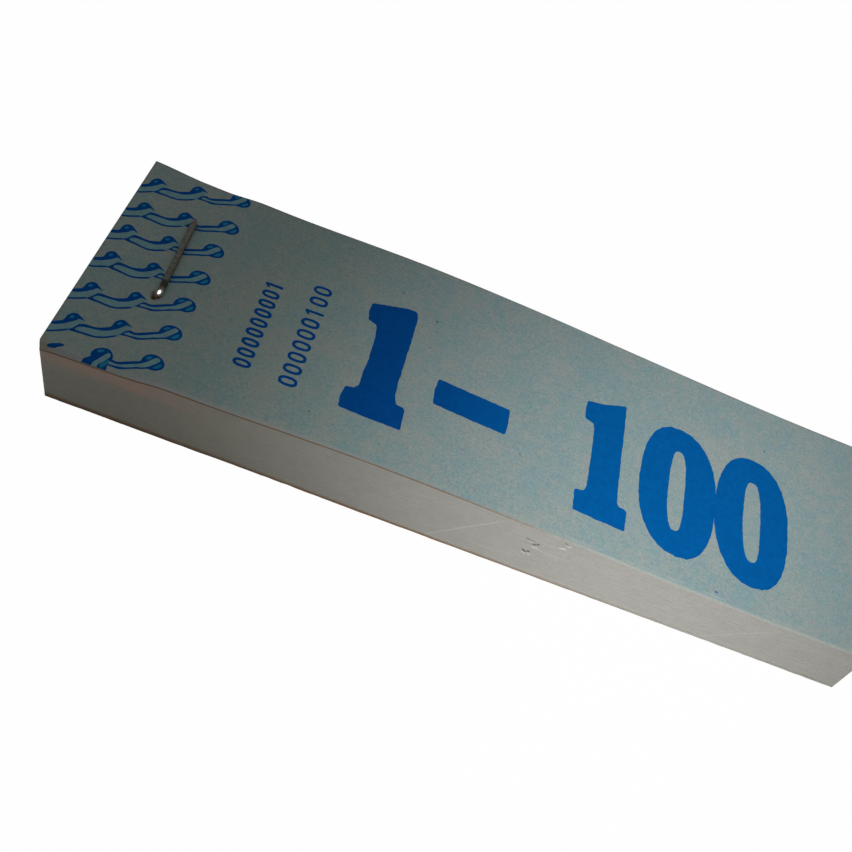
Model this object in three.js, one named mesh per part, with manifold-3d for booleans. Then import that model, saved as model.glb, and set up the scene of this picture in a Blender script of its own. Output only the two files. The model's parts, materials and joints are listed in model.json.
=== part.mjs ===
// A pocket book of one hundred numbered tickets, held at one end by a wire staple
// between a printed card cover and a thick grey back board.
// The book lies closed on its back board. X runs along it from the stapled end, Y across it
// from front to back, and Z up from the underside. Sizes are in millimetres.
import * as THREE from 'three';
import { mergeVertices } from 'three/addons/utils/BufferGeometryUtils.js';
import Module from 'manifold-3d';

// Outline of the book, and how far its open end leans in per millimetre of height
const bookLength = 117.5;
const bookWidth = 35;
const openEndLean = 0.23;

// Height of the closed book: drawn in by the staple, swollen behind the fold, pressed flat at the tail
const heightAtSpine = 12.5;
const heightAtStaple = 12.0;
const heightAtFold = 12.5;
const heightAtSwell = 13.25;
const heightAtTail = 11.05;
const swellFromSpine = 43;
const tailLevelLength = 8;

// Layers, from the underside up
const boardThickness = 0.6;
const coverThickness = 0.35;
const leafCount = 100;
const singleLeafCount = 5;
const packetSize = 5;
const turningLeafCount = 40;

// Fold line on which the cover and the leaves turn, and the row of perforations behind it
const foldFromSpine = 18;
const foldLevelLength = 3;
const foldGap = 0.4;
const perforationFromSpine = 26;
const perforationGap = 0.3;

// Wire staple
const wireDiameter = 0.85;
const crownSpan = 14.3;
const stapleFromSpine = 9.1;
const stapleDentLength = 3;
const stapleOffCentre = 2.5;
const stapleTilt = THREE.MathUtils.degToRad(1.7);
const stapleBendRadius = 0.6;
const clinchLength = 4.6;
const wireSeatGap = 0.05;
const wireClearance = 0.15;
const dentClearance = 0.3;
const dentHeadroom = 0.1;
const wireSides = 8;
const bendSteps = 3;

// How finely the curved profile is drawn
const facetsToStaple = 2;
const facetsToFold = 2;
const facetsToSwell = 3;
const facetsToTail = 5;
const straightTolerance = 1e-6;

// Finishes
const coverFinish = { color: 0x8aa39f, roughness: 0.82, metalness: 0 };
const leafFinish = { color: 0xb9b4a5, roughness: 0.9, metalness: 0 };
const boardFinish = { color: 0x8b7961, roughness: 0.95, metalness: 0 };
const wireFinish = { color: 0x9a958c, roughness: 0.4, metalness: 0.9 };

const wasm = await Module();
wasm.setup();

// The profile runs through these points of the book's length, easing level into each one
const profilePoints = [
  { along: 0, height: heightAtSpine, facets: 0 },
  { along: stapleFromSpine - stapleDentLength / 2, height: heightAtStaple, facets: facetsToStaple },
  { along: stapleFromSpine + stapleDentLength / 2, height: heightAtStaple, facets: 1 },
  { along: foldFromSpine - foldLevelLength / 2, height: heightAtFold, facets: facetsToFold },
  { along: foldFromSpine + foldLevelLength / 2, height: heightAtFold, facets: 1 },
  { along: swellFromSpine, height: heightAtSwell, facets: facetsToSwell },
  { along: bookLength - tailLevelLength, height: heightAtTail, facets: facetsToTail },
  { along: bookLength, height: heightAtTail, facets: 1 },
];

// Every sheet bends at these same stations, so that neighbours lie facet on facet
const stations = profilePoints.flatMap((point, index) => {
  if (index === 0) return [{ along: point.along, height: point.height }];
  const from = profilePoints[index - 1];
  return Array.from({ length: point.facets }, (_, step) => {
    const share = (step + 1) / point.facets;
    return {
      along: THREE.MathUtils.lerp(from.along, point.along, share),
      height: THREE.MathUtils.lerp(from.height, point.height, THREE.MathUtils.smoothstep(share, 0, 1)),
    };
  });
});

function bookHeight(along) {
  const next = Math.max(1, stations.findIndex((station) => station.along >= along));
  const from = stations[next - 1];
  const to = stations[next];
  return THREE.MathUtils.mapLinear(along, from.along, to.along, from.height, to.height);
}

// Boundary 0 is the underside, 1 the top of the board, 1 + leafCount the underside of the cover
const boardTop = 1;
const leavesTop = boardTop + leafCount;
const coverTop = leavesTop + 1;

function boundaryHeight(boundary, along) {
  if (boundary === 0) return 0;
  if (boundary === coverTop) return bookHeight(along);
  const leafPitch = (bookHeight(along) - boardThickness - coverThickness) / leafCount;
  return boardThickness + (boundary - boardTop) * leafPitch;
}

// The guillotine leans at the open end, so a boundary ends sooner the higher it lies
function openEnd(boundary) {
  return bookLength - openEndLean * boundaryHeight(boundary, bookLength);
}

// The side view of one boundary between two cross lines of the book; a straight run keeps only its ends
function boundaryLine(boundary, fromAlong, toAlong) {
  const endAlong = toAlong === bookLength ? openEnd(boundary) : toAlong;
  const inner = stations.map((station) => station.along).filter((along) => along > fromAlong && along < endAlong);
  const line = [fromAlong, ...inner, endAlong].map(
    (along) => new THREE.Vector2(along, boundaryHeight(boundary, along)),
  );
  return line.filter((point, index) => {
    if (index === 0 || index === line.length - 1) return true;
    const before = point.clone().sub(line[index - 1]);
    const after = line[index + 1].clone().sub(point);
    return Math.abs(before.cross(after)) > straightTolerance;
  });
}

// A sheet or packet between two boundaries and two cross lines of the book, full width
function sheetGeometry(fromAlong, toAlong, lower, upper) {
  const under = boundaryLine(lower, fromAlong, toAlong);
  const over = boundaryLine(upper, fromAlong, toAlong);
  const outline = new THREE.Shape([...under, ...over.reverse()]);
  const geometry = new THREE.ExtrudeGeometry(outline, { depth: bookWidth, bevelEnabled: false });
  geometry.rotateX(Math.PI / 2);
  geometry.translate(0, bookWidth / 2, 0);
  return geometry;
}

function toSolid(geometry) {
  const bare = new THREE.BufferGeometry();
  bare.setAttribute('position', geometry.getAttribute('position').clone());
  if (geometry.index) bare.setIndex(geometry.index.clone());
  const merged = mergeVertices(bare, 1e-5);
  return new wasm.Manifold(new wasm.Mesh({
    numProp: 3,
    vertProperties: new Float32Array(merged.getAttribute('position').array),
    triVerts: new Uint32Array(merged.index.array),
  }));
}

function toGeometry(solid) {
  const mesh = solid.getMesh();
  const geometry = new THREE.BufferGeometry();
  geometry.setAttribute('position', new THREE.BufferAttribute(new Float32Array(mesh.vertProperties), 3));
  geometry.setIndex(new THREE.BufferAttribute(new Uint32Array(mesh.triVerts), 1));
  geometry.computeVertexNormals();
  return geometry;
}

// The staple stands square to the book's top, turned a little in plan, as it was driven
const crownAcross = new THREE.Vector3(-Math.sin(stapleTilt), Math.cos(stapleTilt), 0);
const stapleCentre = new THREE.Vector3(stapleFromSpine, stapleOffCentre, 0);
const legReach = (crownSpan - wireDiameter) / 2;
const crownHeight = heightAtStaple + wireSeatGap + wireDiameter / 2;
const clinchHeight = wireSeatGap + wireDiameter / 2;

function onStaple(across, height) {
  return stapleCentre.clone().addScaledVector(crownAcross, across).setZ(height);
}

// Round bend from one straight stretch of wire into the next, within the staple's own plane
function bendPoints(centreAcross, centreHeight, fromAngle, toAngle) {
  const points = [];
  for (let step = 0; step <= bendSteps; step += 1) {
    const angle = fromAngle + ((toAngle - fromAngle) * step) / bendSteps;
    points.push(onStaple(
      centreAcross + stapleBendRadius * Math.cos(angle),
      centreHeight + stapleBendRadius * Math.sin(angle),
    ));
  }
  return points;
}

function stapleRoute() {
  const bendAcross = legReach - stapleBendRadius;
  const quarter = Math.PI / 2;
  return [
    onStaple(-legReach + clinchLength, clinchHeight),
    ...bendPoints(-bendAcross, clinchHeight + stapleBendRadius, 3 * quarter, 2 * quarter),
    ...bendPoints(-bendAcross, crownHeight - stapleBendRadius, 2 * quarter, quarter),
    ...bendPoints(bendAcross, crownHeight - stapleBendRadius, quarter, 0),
    ...bendPoints(bendAcross, clinchHeight + stapleBendRadius, 0, -quarter),
    onStaple(legReach - clinchLength, clinchHeight),
  ];
}

// A path that passes a cross-section at each of its own points and nowhere else
class WirePath extends THREE.Curve {
  constructor(points) {
    super();
    this.points = points;
  }

  getPointAt(share) {
    return this.points[Math.round(share * (this.points.length - 1))].clone();
  }

  getTangentAt(share) {
    const index = Math.round(share * (this.points.length - 1));
    const tangent = new THREE.Vector3();
    [[index - 1, index], [index, index + 1]].forEach(([from, to]) => {
      if (from < 0 || to >= this.points.length) return;
      tangent.add(this.points[to].clone().sub(this.points[from]).normalize());
    });
    return tangent.normalize();
  }
}

function stapleGeometry() {
  const route = stapleRoute();
  const section = new THREE.Shape(Array.from({ length: wireSides }, (_, side) => {
    const angle = ((side + 0.5) * 2 * Math.PI) / wireSides;
    return new THREE.Vector2(Math.cos(angle), Math.sin(angle)).multiplyScalar(wireDiameter / 2);
  }));
  return new THREE.ExtrudeGeometry(section, { steps: route.length - 1, extrudePath: new WirePath(route) });
}

// What the staple needs in the paper: two leg holes, and the dent of the clinched ends underneath
function legHole(side) {
  const radius = (wireDiameter / 2 + wireClearance) / Math.cos(Math.PI / wireSides);
  const depth = 2 * heightAtSwell;
  const hole = new THREE.CylinderGeometry(radius, radius, depth, wireSides);
  hole.rotateX(Math.PI / 2);
  const place = onStaple(side * legReach, heightAtStaple / 2);
  hole.translate(place.x, place.y, place.z);
  return toSolid(hole);
}

function clinchDent() {
  const depth = clinchHeight + wireDiameter / 2 + dentHeadroom;
  const dent = new THREE.BoxGeometry(
    wireDiameter + 2 * dentClearance,
    crownSpan + 2 * dentClearance,
    2 * depth,
  );
  dent.rotateZ(stapleTilt);
  dent.translate(stapleCentre.x, stapleCentre.y, 0);
  return toSolid(dent);
}

const stapleRoom = legHole(-1).add(legHole(1)).add(clinchDent());

function stapledSheet(toAlong, lower, upper) {
  return toGeometry(toSolid(sheetGeometry(0, toAlong, lower, upper)).subtract(stapleRoom));
}

const book = new THREE.Group();
book.position.set(-bookLength / 2, 0, 0);

function addPiece(name, geometry, finish) {
  const mesh = new THREE.Mesh(geometry, new THREE.MeshStandardMaterial(finish));
  mesh.name = name;
  book.add(mesh);
}

const foldStart = foldFromSpine - foldGap / 2;
const foldEnd = foldFromSpine + foldGap / 2;
const tearStart = perforationFromSpine - perforationGap / 2;
const tearEnd = perforationFromSpine + perforationGap / 2;

const numeral = (leaf) => String(leaf).padStart(3, '0');

// Leaves are numbered from the cover down
function leafBoundaries(first, last) {
  return [leavesTop - last, leavesTop - first + 1];
}

addPiece('back_board', stapledSheet(bookLength, 0, boardTop), boardFinish);
addPiece('front_cover_stub', stapledSheet(foldStart, leavesTop, coverTop), coverFinish);
addPiece('front_cover_flap', sheetGeometry(foldEnd, bookLength, leavesTop, coverTop), coverFinish);
addPiece('wire_staple', stapleGeometry(), wireFinish);

// The first leaf comes apart at its perforation, the next few turn one by one
for (let leaf = 1; leaf <= singleLeafCount; leaf += 1) {
  const [lower, upper] = leafBoundaries(leaf, leaf);
  addPiece(`leaf_${numeral(leaf)}_stub`, stapledSheet(foldStart, lower, upper), leafFinish);
  if (leaf === 1) {
    addPiece(`leaf_${numeral(leaf)}_strip`, sheetGeometry(foldEnd, tearStart, lower, upper), leafFinish);
    addPiece(`ticket_${numeral(leaf)}`, sheetGeometry(tearEnd, bookLength, lower, upper), leafFinish);
  } else {
    addPiece(`ticket_${numeral(leaf)}`, sheetGeometry(foldEnd, bookLength, lower, upper), leafFinish);
  }
}

// The leaves below turn in packets, and the lower part of the book stays down on its board
for (let first = singleLeafCount + 1; first <= leafCount; first += packetSize) {
  const last = Math.min(first + packetSize - 1, leafCount);
  const [lower, upper] = leafBoundaries(first, last);
  const span = `${numeral(first)}_${numeral(last)}`;
  if (last <= turningLeafCount) {
    addPiece(`stubs_${span}`, stapledSheet(foldStart, lower, upper), leafFinish);
    addPiece(`tickets_${span}`, sheetGeometry(foldEnd, bookLength, lower, upper), leafFinish);
  } else {
    addPiece(`leaves_${span}`, stapledSheet(bookLength, lower, upper), leafFinish);
  }
}

const ticketBook = new THREE.Group();
ticketBook.add(book);

export default ticketBook;
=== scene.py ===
"""Looks of a stapled pocket book of one hundred numbered tickets, laid round its packed frame."""
import json
import math
import random

import bpy
import numpy as np
from bpy.props import FloatProperty, FloatVectorProperty, IntProperty, PointerProperty
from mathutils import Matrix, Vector, noise


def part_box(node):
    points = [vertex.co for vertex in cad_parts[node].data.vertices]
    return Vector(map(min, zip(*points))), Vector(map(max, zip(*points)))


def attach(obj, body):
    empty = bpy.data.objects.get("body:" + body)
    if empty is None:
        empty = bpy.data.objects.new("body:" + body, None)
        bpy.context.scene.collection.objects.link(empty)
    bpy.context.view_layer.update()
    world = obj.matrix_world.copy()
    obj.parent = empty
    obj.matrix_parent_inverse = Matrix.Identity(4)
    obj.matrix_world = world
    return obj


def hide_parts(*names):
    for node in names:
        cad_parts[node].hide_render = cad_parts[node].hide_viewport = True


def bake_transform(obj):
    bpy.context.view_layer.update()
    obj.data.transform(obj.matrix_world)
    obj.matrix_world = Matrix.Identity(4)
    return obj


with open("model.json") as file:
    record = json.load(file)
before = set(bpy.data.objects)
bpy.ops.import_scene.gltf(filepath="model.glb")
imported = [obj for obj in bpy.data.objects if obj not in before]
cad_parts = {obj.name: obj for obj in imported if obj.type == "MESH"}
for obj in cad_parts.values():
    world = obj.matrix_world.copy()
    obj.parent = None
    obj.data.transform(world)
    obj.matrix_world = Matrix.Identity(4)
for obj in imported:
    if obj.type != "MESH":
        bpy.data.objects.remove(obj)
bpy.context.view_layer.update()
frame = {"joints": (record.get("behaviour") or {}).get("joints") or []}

bl_info = {
    "name": "Numbered Ticket Book",
    "version": (1, 0, 0),
    "blender": (4, 5, 0),
    "location": "View3D > Sidebar > Ticket Book",
    "description": "Builds the paper, board, wire and print of a stapled book of numbered tickets",
    "category": "Object",
}

MM = 0.001
BOARD_LOW, BOARD_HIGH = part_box("back_board")
STUB_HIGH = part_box("front_cover_stub")[1]
FLAP_LOW, FLAP_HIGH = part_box("front_cover_flap")
STRIP_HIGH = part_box("leaf_001_strip")[1]
TICKET_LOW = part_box("ticket_001")[0]
WIRE_LOW, WIRE_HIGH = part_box("wire_staple")
SPINE = BOARD_LOW.x
FRONT = BOARD_LOW.y
LEAF_COUNT = 100
SINGLE_LEAVES = 5
PACKET_SIZE = 5
TURNING_LEAVES = 40
LEAF_TONE = "leaf_tone"
REST_PLACE = "rest_place"
CUT_EDGE = "cut_edge"
# Steps of the nets along and across the leaves and the stiffer cover and board
LEAF_STEP = 2.5 * MM
LEAF_ROW_STEP = 5 * MM
CARD_STEP = 1.0 * MM
CARD_ROW_STEP = 0.5 * MM
# Room round a leg in its hole, and over the clinched ends under the board
LEG_ROOM = 0.06 * MM
CLINCH_ROOM = 0.05 * MM
FIBRE_COUNT = 320
# Millimetres of bare paper that the print leaves at a sheet's edge
PRINT_MARGIN = 0.03
# Ticket numbers: height, and place from the stapled end, in millimetres
STRIP_NUMBER = (2.2, 23.7)
TICKET_NUMBER = (8.5, 71.0)


# Sizes and colours that a user would change

def size(name, text, metres):
    return FloatProperty(name=name, description=text, default=metres, unit="LENGTH", precision=6)


def colour(name, text, red, green, blue):
    return FloatVectorProperty(
        name=name, description=text, default=(red, green, blue), subtype="COLOR", min=0, max=1
    )


class BookSizes(bpy.types.PropertyGroup):
    """Outline and layers of the closed book."""

    length: size("Length", "Length of the back board", BOARD_HIGH.x - BOARD_LOW.x)
    width: size("Width", "Width of the book", BOARD_HIGH.y - BOARD_LOW.y)
    lean: FloatProperty(
        name="Lean", description="How far the open end leans in per unit of height", default=0.23
    )
    board: size("Board", "Thickness of the back board", BOARD_HIGH.z)
    cover: size("Cover", "Thickness of the front cover", 0.35 * MM)
    leaf: size("Leaf", "Thickness of one leaf", 0.1 * MM)
    spine_height: size("Spine height", "Height at the stapled end", STUB_HIGH.z)
    staple_height: size("Staple height", "Height under the crown", 12.0 * MM)
    fold_height: size("Fold height", "Height at the fold line", 12.5 * MM)
    swell_height: size("Swell height", "Height at the swell", FLAP_HIGH.z)
    tail_height: size("Tail height", "Height at the open end", 11.05 * MM)
    swell_place: size("Swell place", "Swell from the stapled end", 43 * MM)
    tail_level: size("Tail level", "Level stretch at the open end", 8 * MM)
    droop: size("Droop", "How far the stapled corner of the front edge has sagged", 1.65 * MM)
    droop_run: size("Droop run", "How fast the sag fades along the front edge", 7 * MM)
    droop_reach: size("Droop reach", "How fast the sag fades inwards", 0.2 * MM)
    fold: size("Fold", "Fold line from the stapled end", (STUB_HIGH.x + FLAP_LOW.x) / 2 - SPINE)
    fold_level: size("Fold level", "Level stretch at the fold line", 3 * MM)
    tear: size("Tear line", "Perforations from the stapled end", (STRIP_HIGH.x + TICKET_LOW.x) / 2 - SPINE)
    tear_pitch: size("Tear pitch", "Distance between perforations", 1.25 * MM)
    tear_slit: size("Tear slit", "Width of a perforation along the leaf", 0.22 * MM)


class StapleSizes(bpy.types.PropertyGroup):
    """The bent wire and its place."""

    wire: size("Wire", "Diameter of the wire", 0.85 * MM)
    crown: size("Crown", "Length of the crown", 14.3 * MM)
    place: size("Place", "Crown from the stapled end", 9.1 * MM)
    off_centre: size("Off centre", "Crown's middle from the book's centre line", 2.5 * MM)
    tilt: FloatProperty(name="Tilt", description="Turn in plan", default=math.radians(1.7), subtype="ANGLE")
    bend: size("Bend", "Radius of each bend", 0.6 * MM)
    facet: size("Facet", "Depth of the flat rubbed on the front bend", 0.1 * MM)
    clinch: size("Clinch", "Length of a bent end", 4.6 * MM)
    dent: size("Dent", "Level stretch under the crown", 3 * MM)
    sink: size("Sink", "How far the card is pulled down where a leg enters", 0.22 * MM)


class PaperLook(bpy.types.PropertyGroup):
    """Colours of the papers and the board."""

    card_cool: colour("Card cool", "Blue-green fibres of the cover", 0.248, 0.395, 0.420)
    card_warm: colour("Card warm", "Beige fibres of the cover", 0.385, 0.425, 0.40)
    card_core: colour("Card core", "Cut edge of the cover", 0.33, 0.225, 0.145)
    card_core_pale: colour("Card core pale", "Cut edge near the open end", 0.50, 0.52, 0.475)
    leaf: colour("Leaf", "Face of a ticket leaf", 0.56, 0.54, 0.47)
    leaf_cut: colour("Leaf cut", "Guillotined edge of the leaves", 0.44, 0.44, 0.407)
    leaf_top_band: colour("Leaf top band", "Brownish edge below the cover's stub", 0.72, 0.485, 0.405)
    board_face: colour("Board face", "Face of the back board", 0.27, 0.215, 0.16)
    board_cut: colour("Board cut", "Fuzzy cut edge of the back board", 0.34, 0.225, 0.145)


class InkLook(bpy.types.PropertyGroup):
    """Colours and thickness of the print."""

    blue: colour("Blue", "Solid blue ink", 0.0, 0.131, 0.443)
    blue_deep: colour("Deep blue", "Where more ink lies", 0.0, 0.112, 0.383)
    tint: colour("Tint", "Pale blue inside the rope border", 0.235, 0.43, 0.455)
    spot: colour("Spot", "Middle blue of the rope's highlights", 0.025, 0.29, 0.50)
    film: size("Film", "How far the ink stands on the card", 0.01 * MM)


class StudioLook(bpy.types.PropertyGroup):
    """Camera and light."""

    camera_place: FloatVectorProperty(
        name="Camera place", description="Where the camera stands",
        default=(-0.02189, -0.07742, 0.11199), unit="LENGTH", precision=6,
    )
    camera_turn: FloatVectorProperty(
        name="Camera turn", description="How the camera is turned",
        default=tuple(math.radians(a) for a in (31.5293, -16.0214, 14.7194)), subtype="EULER",
    )
    lens: FloatProperty(name="Lens", description="Focal length in millimetres", default=38.9289)
    sensor: FloatProperty(name="Sensor", description="Sensor width in millimetres", default=36.0)
    floor: colour("Floor", "Pale floor", 0.55, 0.55, 0.55)
    key_power: FloatProperty(name="Key power", description="Power of the key light in watts", default=3.3)
    key_aim: FloatVectorProperty(
        name="Key aim", description="Middle of the lit patch", default=(0.0285, -0.0125, 0.012),
        unit="LENGTH", precision=4,
    )
    key_way: FloatVectorProperty(
        name="Key way", description="From the lit patch towards the key light", default=(-0.42, -0.63, 0.69),
    )
    key_distance: FloatProperty(
        name="Key distance", description="From the lit patch to the key light", default=0.28, unit="LENGTH",
    )
    key_reach: FloatProperty(
        name="Key reach", description="Radius of the lit patch across the beam", default=0.0562,
        unit="LENGTH", precision=4,
    )
    glint_power: FloatProperty(name="Glint power", description="Power of the overhead light", default=0.02)
    sky: FloatProperty(name="Sky", description="Strength of the even light", default=0.185)
    seed: IntProperty(name="Seed", description="Start of every random draw", default=7)


def book():
    return bpy.context.scene.ticket_book


def staple():
    return bpy.context.scene.ticket_staple


def papers():
    return bpy.context.scene.ticket_papers


def inks():
    return bpy.context.scene.ticket_inks


def studio():
    return bpy.context.scene.ticket_studio


# Heights of the layers. "along" runs from the stapled end, "across" from the centre line

def book_height(along):
    b = book()
    s = staple()
    points = (
        (0, b.spine_height),
        (s.place - s.dent / 2, b.staple_height),
        (s.place + s.dent / 2, b.staple_height),
        (b.fold - b.fold_level / 2, b.fold_height),
        (b.fold + b.fold_level / 2, b.fold_height),
        (b.swell_place, b.swell_height),
        (b.length - b.tail_level, b.tail_height),
        (b.length, b.tail_height),
    )
    height = np.full(np.shape(along), points[0][1])
    for (start, low), (end, high) in zip(points, points[1:]):
        share = np.clip((along - start) / (end - start), 0, 1)
        eased = low + (high - low) * share * share * (3 - 2 * share)
        height = np.where(along > start, eased, height)
    return height


def stack_height(along, across):
    """The book's height, less the sag of the worn stapled corner of its front edge."""
    b = book()
    inward = np.maximum(across - FRONT, 0)
    sag = b.droop * np.exp(-along / b.droop_run - (inward / b.droop_reach) ** 2)
    return book_height(along) - sag


def leaf_height(level, along, across=0.0):
    """Level 0 is the board's top and level 100 the cover's underside."""
    b = book()
    pitch = (stack_height(along, across) - b.board - b.cover) / LEAF_COUNT
    return b.board + level * pitch


def staple_point(across, height):
    s = staple()
    turn = s.tilt
    return Vector((
        SPINE + s.place - math.sin(turn) * across,
        s.off_centre + math.cos(turn) * across,
        height,
    ))


def leg_reach():
    return (staple().crown - staple().wire) / 2


def crown_height():
    return WIRE_HIGH.z - staple().wire / 2


def clinch_height():
    return WIRE_LOW.z + staple().wire / 2


def sway(across, height):
    """How far the crown has been pushed towards the open end, more at its front bend."""
    s = staple()
    risen = np.clip((height - crown_height() + s.bend) / s.bend, 0, 1)
    frontward = np.clip(0.5 - across / (2 * leg_reach()), 0, 1)
    return (0.15 * MM + 0.25 * MM * frontward) * risen


def cover_corner_height():
    return STUB_HIGH.z - 0.6 * book().droop


def facet_plane():
    """Middle and direction of the flat rubbed on the staple's front bend."""
    s = staple()
    way = Vector((0.10, -0.55, 0.83)).normalized()
    middle = staple_point(-leg_reach() + s.bend, crown_height() - s.bend)
    middle.x += sway(-leg_reach(), crown_height())
    return middle + way * (s.bend + s.wire / 2 - s.facet), way


def pulled_down(along, across):
    """How far the staple pulls the card down round its legs and under its crown."""
    s = staple()
    sunk = np.zeros(np.shape(along))
    for side in (-1, 1):
        leg = staple_point(side * leg_reach(), 0)
        distance = np.hypot(along + SPINE - leg.x, across - leg.y)
        sunk += s.sink * np.exp(-(distance / (1.3 * s.wire)) ** 2)
    return sunk


def ridge(along, across, start, end, height, half_width):
    """A faint crease between two points of the cover, from the stapled end and the front edge."""
    point = np.stack([along, across - FRONT], axis=-1)
    first, last = np.array(start), np.array(end)
    run = last - first
    share = np.clip(((point - first) @ run) / (run @ run), 0, 1)
    nearest = first + share[..., None] * run
    distance = np.linalg.norm(point - nearest, axis=-1)
    fade = np.sin(math.pi * np.clip(share, 0.02, 0.98))
    return height * fade * np.exp(-(distance / half_width) ** 2)


def smooth_noise(along, across, wavelength, seed):
    flat = [
        noise.noise(Vector((x / wavelength, y / wavelength, seed)))
        for x, y in zip(np.ravel(along), np.ravel(across))
    ]
    return np.reshape(flat, np.shape(along))


def cover_top(along, across):
    waviness = 0.03 * MM * smooth_noise(along, across, 14 * MM, 3.7)
    creases = ridge(along, across, (1.2 * MM, 29.2 * MM), (6.3 * MM, 27.7 * MM), 0.06 * MM, 0.35 * MM)
    creases -= ridge(along, across, (0.6 * MM, 27.0 * MM), (7.6 * MM, 26.4 * MM), 0.05 * MM, 0.5 * MM)
    creases += ridge(along, across, (9.6 * MM, 28.2 * MM), (14.5 * MM, 31.0 * MM), 0.035 * MM, 0.5 * MM)
    return stack_height(along, across) + waviness + creases - pulled_down(along, across)


def cover_under(along, across):
    return leaf_height(LEAF_COUNT, along, across) - 0.5 * pulled_down(along, across)


def flat_sided(surface, stations, rows):
    """A surface as the flat faces between these stations and rows show it."""
    stations, rows = np.array(stations), np.array(rows)
    net = surface(*np.meshgrid(stations, rows, indexing="ij"))

    def shown(along, across):
        i = np.clip(np.searchsorted(stations, along) - 1, 0, len(stations) - 2)
        j = np.clip(np.searchsorted(rows, across) - 1, 0, len(rows) - 2)
        u = (along - stations[i]) / (stations[i + 1] - stations[i])
        v = (across - rows[j]) / (rows[j + 1] - rows[j])
        near = net[i, j] * (1 - u) + net[i + 1, j] * u
        far = net[i, j + 1] * (1 - u) + net[i + 1, j + 1] * u
        return near * (1 - v) + far * v

    return shown


# Small tools for shaping a mesh

def deselect_all():
    if bpy.context.object and bpy.context.object.mode != "OBJECT":
        bpy.ops.object.mode_set(mode="OBJECT")
    bpy.ops.object.select_all(action="DESELECT")


def make_active(piece):
    deselect_all()
    piece.select_set(True)
    bpy.context.view_layer.objects.active = piece


def get_points(piece):
    flat = np.empty(len(piece.data.vertices) * 3, np.float64)
    piece.data.vertices.foreach_get("co", flat)
    return flat.reshape(-1, 3)


def set_points(piece, points):
    piece.data.vertices.foreach_set("co", np.asarray(points, np.float32).ravel())
    piece.data.update()


def select_faces(piece, chosen):
    bpy.context.tool_settings.mesh_select_mode = (False, False, True)
    mesh = piece.data
    mesh.vertices.foreach_set("select", [False] * len(mesh.vertices))
    mesh.edges.foreach_set("select", [False] * len(mesh.edges))
    mesh.polygons.foreach_set("select", [bool(chosen(face)) for face in mesh.polygons])


def apply_modifier(piece, kind, **settings):
    make_active(piece)
    modifier = piece.modifiers.new(kind.title(), kind)
    for name, value in settings.items():
        setattr(modifier, name, value)
    bpy.ops.object.modifier_apply(modifier=modifier.name)


def point_outward():
    """Turns the active piece's normals outwards."""
    bpy.ops.object.mode_set(mode="EDIT")
    bpy.ops.mesh.select_all(action="SELECT")
    bpy.ops.mesh.normals_make_consistent(inside=False)
    bpy.ops.object.mode_set(mode="OBJECT")


def thicken(depth):
    """Gives the active flat piece a depth, closed all round."""
    bpy.ops.object.mode_set(mode="EDIT")
    bpy.ops.mesh.select_all(action="SELECT")
    bpy.ops.mesh.extrude_region_move(TRANSFORM_OT_translate={"value": (0, 0, depth)})
    bpy.ops.object.mode_set(mode="OBJECT")
    point_outward()


def mesh_from(name, curve, merge):
    """A mesh piece from a curve or text, its doubled points merged."""
    piece = bpy.data.objects.new(name, curve)
    bpy.context.scene.collection.objects.link(piece)
    make_active(piece)
    bpy.ops.object.convert(target="MESH")
    piece = bpy.context.object
    apply_modifier(piece, "WELD", merge_threshold=merge)
    return piece


def turned_in_plane(points, axes, turn):
    """The points turned in the plane of two axes."""
    i, j = axes
    c, s = math.cos(turn), math.sin(turn)
    turned = points.copy()
    turned[:, i] = c * points[:, i] - s * points[:, j]
    turned[:, j] = s * points[:, i] + c * points[:, j]
    return turned


def copy_piece(piece, name):
    twin = piece.copy()
    twin.data = piece.data.copy()
    twin.name = name
    twin.data.name = name
    bpy.context.scene.collection.objects.link(twin)
    return twin


def join_pieces(pieces, name):
    make_active(pieces[0])
    for piece in pieces[1:]:
        piece.select_set(True)
    if len(pieces) > 1:
        bpy.ops.object.join()
    joined = bpy.context.object
    joined.name = name
    joined.data.name = name
    return joined


def drop(*pieces):
    for piece in pieces:
        bpy.data.objects.remove(piece)


def finish_mesh(piece, face_material, edge_material=None, smooth_degrees=30):
    """Gives the mesh its rest-place attribute, its materials and its smooth shading."""
    mesh = piece.data
    mesh.materials.clear()
    mesh.materials.append(face_material)
    if edge_material:
        mesh.materials.append(edge_material)
        marks = mesh.attributes[CUT_EDGE]
        cut = np.empty(len(mesh.polygons), np.int32)
        marks.data.foreach_get("value", cut)
        mesh.polygons.foreach_set("material_index", cut)
        mesh.attributes.remove(marks)
    rest = mesh.attributes.get(REST_PLACE) or mesh.attributes.new(REST_PLACE, "FLOAT_VECTOR", "POINT")
    rest.data.foreach_set("vector", get_points(piece).astype(np.float32).ravel())
    make_active(piece)
    bpy.ops.object.shade_smooth_by_angle(angle=math.radians(smooth_degrees))


def set_tone(piece, tone):
    mesh = piece.data
    layer = mesh.attributes.get(LEAF_TONE) or mesh.attributes.new(LEAF_TONE, "FLOAT", "POINT")
    layer.data.foreach_set("value", np.full(len(mesh.vertices), tone, np.float32))


# Sheets. A blank is a flat sheet at its real length and width and BLANK_DEPTH thick,
# with its slits and leg holes, and laying it in the book sets its heights

BLANK_DEPTH = 1 * MM
HOLE_SIDES = 16


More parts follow.
